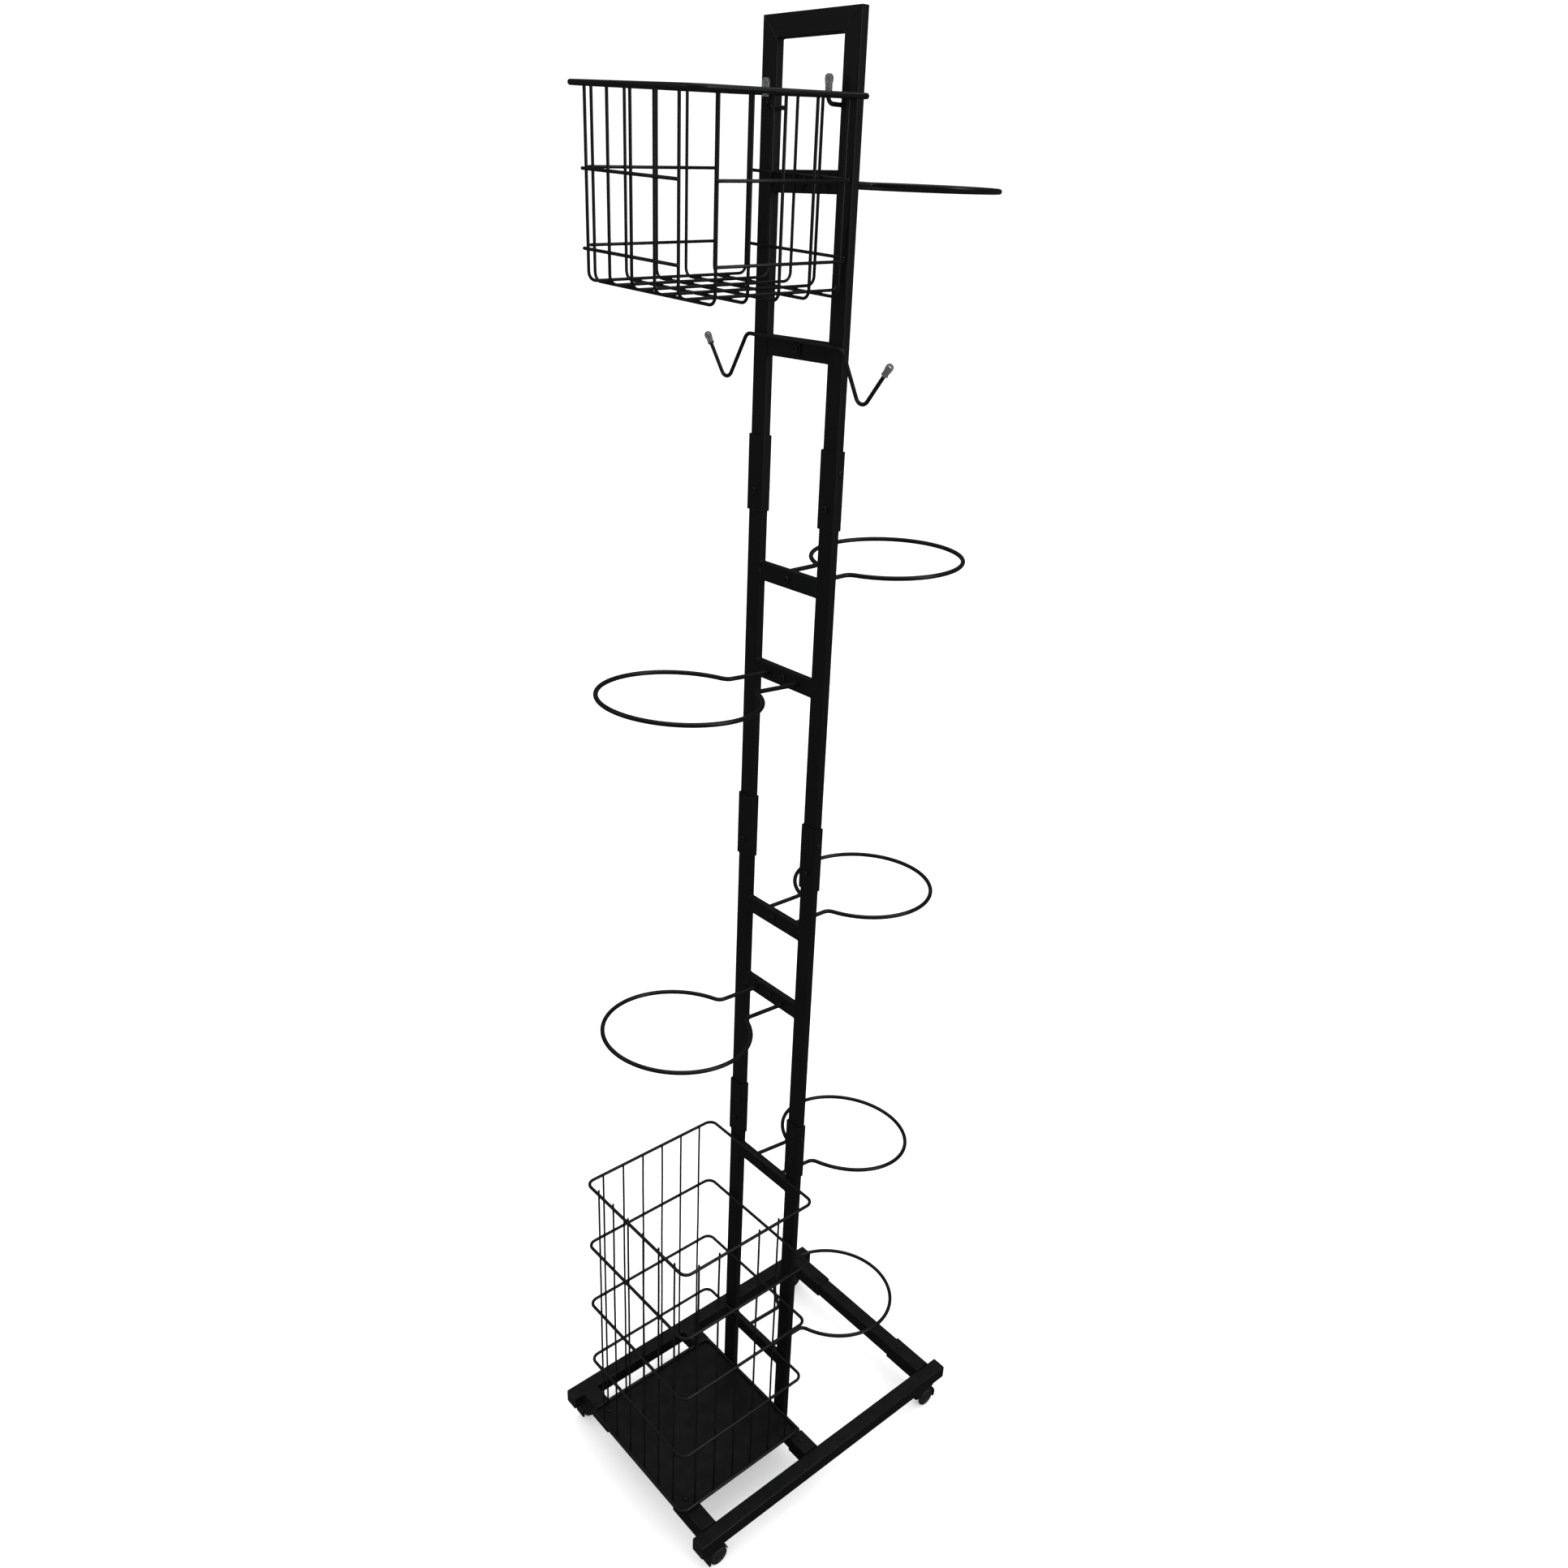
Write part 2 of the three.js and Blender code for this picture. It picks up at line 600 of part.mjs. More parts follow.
// The double hook: one wire across the front of the ladder, with a V-shaped hook at each end and a tab.
function doubleHook() {
  const corners = [
    onDoubleHook(-HOOK.tip, HOOK.drop - HOOK.lift),
    onDoubleHook(-HOOK.valley, HOOK.drop),
    onDoubleHook(-HOOK.shoulder, 0),
    onDoubleHook(HOOK.shoulder, 0),
    onDoubleHook(HOOK.valley, HOOK.drop),
    onDoubleHook(HOOK.tip, HOOK.drop - HOOK.lift),
  ];
  const tabBack = -(RUNG.depth / 2 + GAP);
  const tabBottom = RUNG_HEIGHTS[HOOK_RUNG] - 6;
  const tabTop = RUNG_HEIGHTS[HOOK_RUNG] + HOOK.rise + 1;
  const tab = box([-6, tabBack - 1.6, tabBottom], [6, tabBack, tabTop]);
  const hole = rod("y", BOLT.clearance, -12, 0, [0, 0, RUNG_HEIGHTS[HOOK_RUNG]]);
  return wire(bentPoints(corners, HOOK.bend), HOOK.wire).add(tab.subtract(hole));
}

function buildRingsAndHooks() {
  const boltLength = RUNG.depth + 2.3;
  RINGS.forEach((ring, i) => {
    addPiece(`ball_ring_${i + 1}`, ballRing(ring), "wire");
    const seat = [0, -RUNG.depth / 2 - GAP, RUNG_HEIGHTS[ring.rung]];
    addPiece(`ring_bolt_${i + 1}`, bolt("y", seat, boltLength), "bolt");
  });

  addPiece("double_hook", doubleHook(), "wire");
  const hookSeat = [0, -RUNG.depth / 2 - 2 * GAP - 1.6, RUNG_HEIGHTS[HOOK_RUNG]];
  addPiece("hook_bolt", bolt("y", hookSeat, boltLength + 2), "bolt");
  for (const [hand, side] of [["left", -1], ["right", 1]]) {
    const tip = onDoubleHook(side * HOOK.tip, HOOK.drop - HOOK.lift);
    const run = tip.clone().sub(onDoubleHook(side * HOOK.valley, HOOK.drop)).normalize();
    tip.addScaledVector(run, CAP.wall + 0.6 + GAP);
    addPiece(`hook_cap_${hand}`, wireCap(tip, run, HOOK.wire, CAP.hookLength), "vinyl");
  }

  for (const [hand, side] of [["left", -1], ["right", 1]]) {
    const x = side * (UPRIGHT_SPACING / 2 - UPRIGHT.width / 2 - GAP - BASKET_HOOK.wire / 2);
    const corners = [
      new THREE.Vector3(x, UPRIGHT.depth / 2 + 1, BASKET_HOOK.height),
      new THREE.Vector3(x, BASKET_HOOK.reach, BASKET_HOOK.height),
      new THREE.Vector3(x, BASKET_HOOK.reach, BASKET_HOOK.top),
    ];
    addPiece(`basket_hook_${hand}`, wire(bentPoints(corners, BASKET_HOOK.bend), BASKET_HOOK.wire, 8), "wire");
    const tip = corners[2].clone();
    tip.z += CAP.wall + 0.6 + GAP;
    const up = new THREE.Vector3(0, 0, 1);
    addPiece(`basket_hook_cap_${hand}`, wireCap(tip, up, BASKET_HOOK.wire, CAP.basketLength), "vinyl");
  }
}

// ---- Hanging basket ----

// Wires bent into a U, down one side, across the floor and up the other, crossing both ways, with a
// heavier rim on top and two bands round the sides that stop short of the rounded corners. It is
// drawn level, with the middle of its back rim at the origin, and then hung.
function hangingBasket() {
  const { rimWire, halfWidth, depth, wires, bend } = BASKET;
  const wireSize = BASKET.wire;
  const middleY = -depth / 2;
  const reachX = halfWidth - rimWire / 2 - wireSize / 2 + 0.5;
  const reachY = depth / 2 - rimWire / 2 - wireSize / 2 + 0.5;
  const floor = -BASKET.depthZ;
  const pieces = [hoop(halfWidth, depth / 2, BASKET.rimCorner, rimWire, [0, middleY, 0], 1.4)];
  const along = spread(wires, BASKET.wireSpanX);
  const across = spread(wires, BASKET.wireSpanY, middleY);
  const top = 0.5;
  for (const x of along) {
    const corners = [
      new THREE.Vector3(x, middleY - reachY, top),
      new THREE.Vector3(x, middleY - reachY, floor),
      new THREE.Vector3(x, middleY + reachY, floor),
      new THREE.Vector3(x, middleY + reachY, top),
    ];
    pieces.push(wire(bentPoints(corners, bend, 2), wireSize, 4));
  }
  const lower = floor - wireSize * 0.6;
  for (const y of across) {
    const corners = [
      new THREE.Vector3(-reachX, y, top),
      new THREE.Vector3(-reachX, y, lower),
      new THREE.Vector3(reachX, y, lower),
      new THREE.Vector3(reachX, y, top),
    ];
    pieces.push(wire(bentPoints(corners, bend, 2), wireSize, 4));
  }
  const bandX = along[wires - 1] + wireSize;
  const bandY = across[wires - 1] - middleY + wireSize;
  const out = wireSize * 0.6;
  for (const z of BASKET.bandDrops.map((drop) => -drop)) {
    for (const side of [-1, 1]) {
      const y = middleY + side * (reachY + out);
      const x = side * (reachX + out);
      const ends = (a, b) => [new THREE.Vector3(...a), new THREE.Vector3(...b)];
      pieces.push(wire(ends([-bandX, y, z], [bandX, y, z]), wireSize, 4));
      pieces.push(wire(ends([x, middleY - bandY, z], [x, middleY + bandY, z]), wireSize, 4));
    }
  }
  const level = union(pieces).translate([BASKET.centre, 0, 0]);
  return level.rotate([BASKET.droop, BASKET.lean, 0]).translate([0, BASKET.back, BASKET.rimZ]);
}

// ---- Wire bin ----

// Five hoops with uprights inside them on three sides, the side that faces the ladder left open. It is
// open above and below too, and stands on the tray.
function wireBin() {
  const middleY = (BIN.front + BIN.back) / 2;
  const halfDepth = (BIN.back - BIN.front) / 2;
  const bottom = TRAY_Z + TRAY.thickness + GAP + BIN.wire / 2;
  const levels = Array.from({ length: BIN.rings }, (_, i) => bottom + i * BIN.pitch);
  const pieces = levels.map((z) =>
    hoop(BIN.halfWidth, halfDepth, BIN.corner, BIN.wire, [BIN.centre, middleY, z], BIN.wire / 4),
  );
  const inset = (BIN.wire + BIN.upright) / 2 - 0.5;
  const half = BIN.upright / 2;
  const addUpright = (x, y) => {
    const top = levels[BIN.rings - 1] + BIN.nub;
    pieces.push(box([x - half, y - half, bottom - 0.5], [x + half, y + half, top]));
  };
  for (const x of spread(BIN.wires, BIN.wireSpanX, BIN.centre)) addUpright(x, BIN.front + inset);
  for (const side of [-1, 1]) {
    const x = BIN.centre + side * (BIN.halfWidth - inset);
    for (const y of spread(BIN.wires, BIN.wireSpanY, middleY)) addUpright(x, y);
  }
  return union(pieces);
}

buildBase();
buildCastors();
buildLadder();
buildRingsAndHooks();
addPiece("hanging_basket", hangingBasket(), "wire");
addPiece("wire_bin", wireBin(), "wire");

export default stand;
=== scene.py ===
"""Looks for the wheeled ball stand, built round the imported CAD: rounded tubes with weld beads, drawn
wires, socket screws, clear soft caps and twin-disc castors, each with a procedural finish.

Metres, +Z up, in the CAD's own frame. Each piece takes its place from the boxes of the CAD nodes.
"""

import json
import math

import bmesh
import bpy
from mathutils import Matrix, Vector


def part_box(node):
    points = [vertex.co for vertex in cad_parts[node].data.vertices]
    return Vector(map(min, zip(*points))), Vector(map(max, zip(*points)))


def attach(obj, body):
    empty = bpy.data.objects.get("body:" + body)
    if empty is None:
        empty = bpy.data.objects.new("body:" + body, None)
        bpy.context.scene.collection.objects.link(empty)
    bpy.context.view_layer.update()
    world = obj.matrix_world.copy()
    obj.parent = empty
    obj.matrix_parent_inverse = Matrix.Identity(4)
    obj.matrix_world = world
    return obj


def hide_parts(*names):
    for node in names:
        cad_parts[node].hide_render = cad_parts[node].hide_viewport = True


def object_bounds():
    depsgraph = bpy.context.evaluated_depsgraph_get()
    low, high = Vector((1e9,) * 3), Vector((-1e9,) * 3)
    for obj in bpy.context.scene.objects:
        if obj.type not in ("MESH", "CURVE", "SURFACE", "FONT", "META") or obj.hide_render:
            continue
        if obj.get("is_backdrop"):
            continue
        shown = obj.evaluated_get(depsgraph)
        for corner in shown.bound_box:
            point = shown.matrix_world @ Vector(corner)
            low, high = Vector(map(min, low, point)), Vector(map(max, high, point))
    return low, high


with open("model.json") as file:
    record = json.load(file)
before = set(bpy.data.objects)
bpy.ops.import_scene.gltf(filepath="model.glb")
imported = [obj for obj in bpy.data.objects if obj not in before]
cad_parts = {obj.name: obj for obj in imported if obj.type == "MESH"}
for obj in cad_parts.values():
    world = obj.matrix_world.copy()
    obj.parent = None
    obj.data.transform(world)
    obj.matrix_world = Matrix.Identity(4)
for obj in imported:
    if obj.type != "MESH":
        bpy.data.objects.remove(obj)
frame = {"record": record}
CAD_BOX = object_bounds()

BODY_OF = {
    node: body
    for body, nodes in frame["record"]["behaviour"]["bodies"].items()
    for node in nodes
}
SIDES = (("left", -1), ("right", 1))

# ---- Sizes ----

GAP = 0.0003  # between neighbouring pieces
WALL = 0.0012  # of every tube
EASE = 0.0004  # rounding of cut edges
TUBE_CORNER = 0.0015
UPRIGHT = (0.020, 0.010)  # along x and y
RUNG = (0.008, 0.020)  # along y and z
BAR = 0.020  # square tube of the base
BAR_CORNER = 0.002
PLUG_FLANGE = 0.0014
PLUG_DEPTH = 0.012  # from the bar's end, flange included
MIDDLE_SOCKET_REACH = 0.103  # |x| where the middle sockets end
BEAD = 0.0009  # radius of the weld beads
MITRE_BEAD = 0.0006
SHEET_BEND = 0.0022  # outer bend radius of the folded sleeves
SHEET = 0.0015

RING_WIRE = 0.0025  # wire radii, here and for the hooks, the basket and the bin
RING_NECK = 0.024  # half the gap between a ring's legs
RING_NECK_BEND = 0.010
RING_SLOPES = (-3, -7, 3.5, -1, 3, 1.5, 0)  # degrees, away from the rung
RING_BEND_OUT = 0.004  # from the rung's face to where the slope starts

HOOK_WIRE = 0.002  # of the double hook and of the basket's hooks
HOOK_CENTRE = -0.003
HOOK_TILT = math.radians(1)  # left end up
HOOK_SHOULDER = 0.070
HOOK_VALLEY = 0.100
HOOK_TIP = 0.134
HOOK_RISE = 0.0075  # wire above the rung's middle
HOOK_DROP = 0.053
HOOK_LIFT = 0.045
HOOK_BEND = 0.009
HOOK_TAB = 0.0016  # thickness
HOOK_TAB_WIDTH = 0.012
HOOK_TAB_DROP = 0.006  # below the rung's middle
HOOK_TAB_STANDS = 0.001  # above the wire's centre line

BASKET_HOOK_BEND = 0.006
CAP_WALL = 0.0017
CAP_END = 0.0023  # solid vinyl past the wire's end
CAP_LENGTHS = {"hook": 0.013, "basket_hook": 0.016}

RIM = 0.0025
BASKET_WIRE = 0.0015
BASKET_CENTRE = -0.002
BASKET_HALF_WIDTH = 0.0935  # to the rim's centre line
BASKET_BACK = -0.0105
BASKET_DEPTH = 0.1915
BASKET_RIM_Z = 1.6675
BASKET_DROOP = 2.3  # degrees, front edge down
BASKET_LEAN = 2.9  # degrees, right side down
BASKET_CORNER = 0.014
BASKET_FLOOR = 0.1585  # below the rim
BASKET_BANDS = (0.066, 0.131)
BASKET_SPANS = (0.135, 0.141)  # first to last of the five wires, along x and along y
BASKET_BEND = 0.008

BIN_HOOP = 0.002
BIN_UPRIGHT = 0.00125
BIN_CORNER = 0.010
BIN_HOOPS = 5
BIN_UPRIGHTS = 6  # on each side but the back
BIN_SPANS = (0.156, 0.1525)
BIN_NUB = 0.003  # of an upright above the top hoop
BIN_BOW = 0.0003  # how far an upright strays between two hoops

SCREW_RADIUS = 0.0039
SCREW_HEIGHT = 0.0022
SHANK_RADIUS = 0.002
SIDE_SCREW_RADIUS = 0.0032  # in the outer side of a sleeve
SIDE_SCREW_HEIGHT = 0.0017
SIDE_SCREW_SHANK = 0.004
SOCKET_SCREW_INSET = 0.011  # from the socket's inner end
SOCKET_SCREW_SHANK = 0.006
FOOT_SCREW_SHANK = 0.008

# Castors: radii about the axle, and angles in degrees up from the side that trails.
DISC_INNER = 0.0038  # half the gap between the two discs
HUB_RADIUS = 0.0030
WEB_HALF = 0.0032
WEB_RADIUS = 0.0146
WEB_FOOT = 0.0085
WEB_NECK = 0.0055  # half width where the web meets the boss
HOOD_INSIDE = 0.0137
HOOD_OUTSIDE = 0.0151
HOOD_NOSE = 0.0171  # the hood is thicker in front of the discs
HOOD_SPAN = (18, 203)
HOOD_STEP = (108, 124)  # between these it thickens
BOSS_RADIUS = 0.0065
BOSS_BORE = 0.0044

SHARP = math.radians(38)
TAU = 2 * math.pi


# ---- Materials ----


def node(tree, kind, inputs=None, **settings):
    """Adds a shader node. An input is given a value or linked to another node's socket."""
    made = tree.nodes.new(kind)
    for key, value in settings.items():
        setattr(made, key, value)
    for key, value in (inputs or {}).items():
        if isinstance(value, bpy.types.NodeSocket):
            tree.links.new(value, made.inputs[key])
        else:
            made.inputs[key].default_value = value
    return made


def maths(tree, operation, a, b=0.0, clamp=False):
    return node(tree, "ShaderNodeMath", {0: a, 1: b}, operation=operation, use_clamp=clamp).outputs[0]


def noise(tree, coords, scale, detail=2.0, stretch=(1, 1, 1)):
    vector = coords
    if stretch != (1, 1, 1):
        vector = node(tree, "ShaderNodeMapping", {"Vector": coords, "Scale": stretch}).outputs[0]
    inputs = {"Vector": vector, "Scale": scale, "Detail": detail, "Roughness": 0.55}
    return node(tree, "ShaderNodeTexNoise", inputs).outputs["Fac"]


def ramp(tree, value, low, high, to_low=0.0, to_high=1.0):
    inputs = {"Value": value, "From Min": low, "From Max": high, "To Min": to_low, "To Max": to_high}
    return node(tree, "ShaderNodeMapRange", inputs, clamp=True).outputs[0]


def mix(tree, share, a, b):
    return node(tree, "ShaderNodeMixRGB", {"Fac": share, "Color1": a, "Color2": b}).outputs[0]


def swing(tree, value, amount):
    """How far a noise value is from its middle, scaled."""
    return maths(tree, "MULTIPLY", maths(tree, "SUBTRACT", value, 0.5), amount)


def colour(r, g, b):
    return (r, g, b, 1.0)


def grey(level):
    return colour(level, level, level)


DUST_COLOUR = colour(0.17, 0.16, 0.145)


def finish(
    name,
    base,
    roughness,
    specular=0.3,
    metallic=0.0,
    peel=(750, 2.0e-5),
    grain=(3200, 3.0e-6),
    patches=0.12,
    dust=0.10,
    wear=0.5,
    wear_colour=(0.075, 0.073, 0.070),
    edge=0.0006,
    scuffs=0.0,
):
    """A coated or moulded surface: two scales of bump, patchy sheen, dust on top and worn edges.

    peel and grain are (features per metre, height in metres). Wear shows where the surface turns
    within `edge`, and scuffs are fine rubbed streaks anywhere.
    """
    material = bpy.data.materials.new(name)
    material.use_nodes = True
    tree = material.node_tree
    shader = tree.nodes["Principled BSDF"]
    coords = node(tree, "ShaderNodeTexCoord").outputs["Object"]
    normal = node(tree, "ShaderNodeNewGeometry").outputs["Normal"]

    coarse = maths(tree, "MULTIPLY", noise(tree, coords, peel[0]), peel[1])
    fine = maths(tree, "MULTIPLY", noise(tree, coords, grain[0], 1.0), grain[1])
    height = maths(tree, "ADD", coarse, fine)
    bump = node(tree, "ShaderNodeBump", {"Height": height, "Distance": 1.0, "Strength": 1.0})

    # Tone and sheen that vary in broad patches and in upright smears.
    patch = noise(tree, coords, 16, 4.0)
    smear = noise(tree, coords, 90, 3.0, (1, 1, 0.12))
    darker = colour(*(0.72 * c for c in base))
    lighter = colour(*(1.35 * c for c in base))
    tone = mix(tree, patch, darker, lighter)
    sheen = maths(tree, "ADD", roughness, swing(tree, patch, patches))
    sheen = maths(tree, "ADD", sheen, swing(tree, smear, patches))

    # Dust that settles on faces turned upwards.
    up = node(tree, "ShaderNodeSeparateXYZ", {"Vector": normal}).outputs["Z"]
    specks = ramp(tree, noise(tree, coords, 55, 6.0), 0.42, 0.72)
    settled = maths(tree, "MULTIPLY", ramp(tree, up, 0.35, 0.95), specks)
    settled = maths(tree, "MULTIPLY", settled, dust)
    tone = mix(tree, settled, tone, DUST_COLOUR)
    sheen = maths(tree, "ADD", sheen, maths(tree, "MULTIPLY", settled, 1.2))

    # Edges and streaks rubbed through to another tone.
    worn = 0.0
    if wear:
        rounded = node(tree, "ShaderNodeBevel", {"Radius": edge}, samples=4).outputs["Normal"]
        normals = {0: rounded, 1: normal}
        turn = node(tree, "ShaderNodeVectorMath", normals, operation="DOT_PRODUCT").outputs["Value"]
        edges = ramp(tree, maths(tree, "SUBTRACT", 1.0, turn), 0.015, 0.16)
        worn = maths(tree, "MULTIPLY", edges, ramp(tree, noise(tree, coords, 170, 5.0), 0.50, 0.68))
        worn = maths(tree, "MULTIPLY", worn, wear)
    if scuffs:
        streak = ramp(tree, noise(tree, coords, 420, 3.0, (1, 0.25, 1)), 0.66, 0.76)
        place = ramp(tree, noise(tree, coords, 24, 2.0), 0.55, 0.70)
        rubbed = maths(tree, "MULTIPLY", maths(tree, "MULTIPLY", streak, place), scuffs)
        worn = maths(tree, "MAXIMUM", worn, rubbed)
    tone = mix(tree, worn, tone, colour(*wear_colour))
    sheen = maths(tree, "SUBTRACT", sheen, maths(tree, "MULTIPLY", worn, 0.12), clamp=True)

    tree.links.new(tone, shader.inputs["Base Color"])
    tree.links.new(sheen, shader.inputs["Roughness"])
    tree.links.new(bump.outputs[0], shader.inputs["Normal"])
    shader.inputs["Specular IOR Level"].default_value = specular
    shader.inputs["Metallic"].default_value = metallic
    return material


def vinyl(name):
    """Clear soft vinyl with a faint grey tint, a little cloudy in places."""
    material = bpy.data.materials.new(name)
    material.use_nodes = True
    tree = material.node_tree
    shader = tree.nodes["Principled BSDF"]
    coords = node(tree, "ShaderNodeTexCoord").outputs["Object"]
    cloud = noise(tree, coords, 260, 4.0)
    ripple = maths(tree, "MULTIPLY", noise(tree, coords, 900, 2.0), 2.0e-5)
    bump = node(tree, "ShaderNodeBump", {"Height": ripple, "Distance": 1.0, "Strength": 1.0})
    tint = mix(tree, cloud, colour(0.62, 0.65, 0.66), colour(0.84, 0.86, 0.86))
    tree.links.new(tint, shader.inputs["Base Color"])
    tree.links.new(ramp(tree, cloud, 0.3, 0.8, 0.03, 0.12), shader.inputs["Roughness"])
    tree.links.new(bump.outputs[0], shader.inputs["Normal"])
    shader.inputs["Transmission Weight"].default_value = 0.92
    shader.inputs["IOR"].default_value = 1.5
    return material


BLACK = (0.0028, 0.0029, 0.0035)
MATERIALS = {
    "powder_coat": finish(
        "powder_coat",
        BLACK,
        0.36,
        specular=0.25,
        patches=0.08,
        dust=0.02,
        scuffs=0.15,
    ),
    "coated_wire": finish(
        "coated_wire",
        BLACK,
        0.30,
        specular=0.42,
        peel=(1500, 4.0e-6),
        dust=0.02,
        wear=0,
        scuffs=0.08,
    ),
    "screw": finish(
        "screw",
        (0.030, 0.030, 0.032),
        0.30,
        specular=0.5,
        metallic=0.85,
        peel=(2400, 4.0e-6),
        dust=0.05,
        wear=0.95,
        wear_colour=(0.42, 0.41, 0.40),
        edge=0.0003,
    ),
    "soft_cap": vinyl("soft_cap"),
    "castor_body": finish(
        "castor_body",
        (0.006, 0.006, 0.007),
        0.36,
        peel=(4200, 6.0e-6),
        dust=0.10,
        wear=0.3,
        scuffs=0.5,
    ),
    "castor_wheel": finish(
        "castor_wheel",
        (0.012, 0.012, 0.0125),
        0.50,
        peel=(3000, 8.0e-6),
        dust=0.14,
        wear=0.6,
        wear_colour=(0.13, 0.12, 0.11),
        scuffs=0.8,
    ),
    "stem_steel": finish(
        "stem_steel",
        (0.42, 0.42, 0.42),
        0.30,
        specular=0.5,
        metallic=1.0,
        peel=(1800, 4.0e-6),
        dust=0.1,
        wear=0.3,
        wear_colour=(0.6, 0.6, 0.6),
    ),
}


# ---- Mesh tools ----

AXES = {
    "x": (Vector((0, 1, 0)), Vector((0, 0, 1)), Vector((1, 0, 0))),
    "y": (Vector((0, 0, 1)), Vector((1, 0, 0)), Vector((0, 1, 0))),
    "z": (Vector((1, 0, 0)), Vector((0, 1, 0)), Vector((0, 0, 1))),
}


def loft(bm, rings, closed=False):
    """Quads between successive rings of points, capped at the ends unless the last meets the first."""
    loops = [[bm.verts.new(p) for p in ring] for ring in rings]
    pairs = list(zip(loops, loops[1:]))
    if closed:
        pairs.append((loops[-1], loops[0]))
    count = len(loops[0])
    for a, b in pairs:
        for i in range(count):
            j = (i + 1) % count
            bm.faces.new((a[i], a[j], b[j], b[i]))
    if not closed:
        bm.faces.new(loops[0][::-1])
        bm.faces.new(loops[-1])


def arc(cx, cy, radius, start, end, steps):
    """Points on an arc between two angles in degrees, both ends included."""
    angles = [math.radians(start + (end - start) * k / steps) for k in range(steps + 1)]
    return [(cx + radius * math.cos(a), cy + radius * math.sin(a)) for a in angles]


def rounded_rectangle(width, height, corner, steps=4):
    points = []
    for quadrant, (sx, sy) in enumerate(((1, 1), (-1, 1), (-1, -1), (1, -1))):
        cx = sx * (width / 2 - corner)
        cy = sy * (height / 2 - corner)
        points += arc(cx, cy, corner, 90 * quadrant, 90 * (quadrant + 1), steps)
    return points


def at_station(profile, axis, along, centre):
    """A flat profile's points on the plane `along` an axis, about a centre line through `centre`."""
    u, v, w = AXES[axis]
    centre = Vector(centre)
    origin = centre - w * centre.dot(w) + w * along
    return [origin + u * a + v * b for a, b in profile]


def eased_stations(low, high, ease):
    """(place, inset) pairs of a bar whose two end edges are rounded."""
    quarter = [(1 - math.cos(a), 1 - math.sin(a)) for a in (0, math.pi / 4, math.pi / 2)]
    start = [(low + ease * shift, ease * inset) for shift, inset in quarter]
    end = [(high - ease * shift, ease * inset) for shift, inset in reversed(quarter)]
    return start + end


def bar_rings(axis, stations, size, corner, centre):
    rings = []
    for along, inset in stations:
        radius = max(corner - inset, 0.00005)
        profile = rounded_rectangle(size[0] - 2 * inset, size[1] - 2 * inset, radius)
        rings.append(at_station(profile, axis, along, centre))
    return rings


def solid_bar(bm, axis, low, high, size, corner, centre, ease=EASE):
    loft(bm, bar_rings(axis, eased_stations(low, high, ease), size, corner, centre))


def tube(bm, axis, low, high, size, corner, centre, wall=WALL):
    """An open-ended tube of rounded rectangular section."""
    ease = wall / 4
    outer = bar_rings(axis, eased_stations(low, high, ease), size, corner, centre)
    inner = bar_rings(axis, [(high, wall), (low, wall)], size, corner, centre)
    loft(bm, outer + inner, closed=True)


def ring_of_points(centre, direction, radii):
    """Points about a centre line, one for each radius given."""
    u = direction.orthogonal().normalized()
    v = direction.cross(u)
    count = len(radii)
    return [
        centre + (u * math.cos(TAU * k / count) + v * math.sin(TAU * k / count)) * radius
        for k, radius in enumerate(radii)
    ]


def turned(bm, profile, origin, direction, sides=32, closed=False):
    """A lathe shape from (radius, height) pairs about a direction."""
    direction = Vector(direction).normalized()
    rings = [ring_of_points(Vector(origin) + direction * h, direction, [r] * sides) for r, h in profile]
    loft(bm, rings, closed)


def sweep(bm, points, radius, sides=12, closed=False, ripple=0.0):
    """A round wire along a path, its section carried without twist and its ends softened."""
    count = len(points)
    if closed:
        tangents = [(points[(i + 1) % count] - points[i - 1]).normalized() for i in range(count)]
    else:
        ends = [points[0]] + points + [points[-1]]
        tangents = [(ends[i + 2] - ends[i]).normalized() for i in range(count)]
    normal = tangents[0].orthogonal()
    rings = []
    for i, (point, tangent) in enumerate(zip(points, tangents)):
        normal = (normal - tangent * normal.dot(tangent)).normalized()
        across = tangent.cross(normal)
        size = radius * (1 + ripple * math.sin(2.1 * i))
        turns = [TAU * k / sides for k in range(sides)]
        rings.append([point + (normal * math.cos(a) + across * math.sin(a)) * size for a in turns])
    if not closed:
        rings[:1] = soft_end(rings[0], points[0], tangents[0], radius)
        rings[-1:] = reversed(soft_end(rings[-1], points[-1], -tangents[-1], radius))
    loft(bm, rings, closed)


def soft_end(ring, point, inward, radius):
    """The rings that round off the end of a wire, from the tip inwards."""
    rings = []
    for share, shift in ((0.45, 0.0), (0.80, 0.12), (1.0, 0.45)):
        centre = point + inward * radius * shift
        rings.append([centre + (p - point) * share for p in ring])
    return rings


def bent(corners, radius, steps=6):
    """The path of a bent wire: straight runs, with a bend of one radius at each corner."""
    corners = [Vector(c) for c in corners]
    points = [corners[0]]
    for before, corner, after in zip(corners, corners[1:], corners[2:]):
        arrive = (corner - before).normalized()
        leave = (after - corner).normalized()
        turn = arrive.angle(leave)
        axis = arrive.cross(leave).normalized()
        start = corner - arrive * radius * math.tan(turn / 2)
        outward = arrive.cross(axis) * radius
        centre = start - outward
        for k in range(steps + 1):
            points.append(centre + Matrix.Rotation(turn * k / steps, 3, axis) @ outward)
    points.append(corners[-1])
    return points


def extruded(bm, profile, axis, low, high, centre=(0, 0, 0)):
    loft(bm, [at_station(profile, axis, along, centre) for along in (low, high)])


def spread(count, span, centre=0.0):
    return [centre - span / 2 + span * i / (count - 1) for i in range(count)]


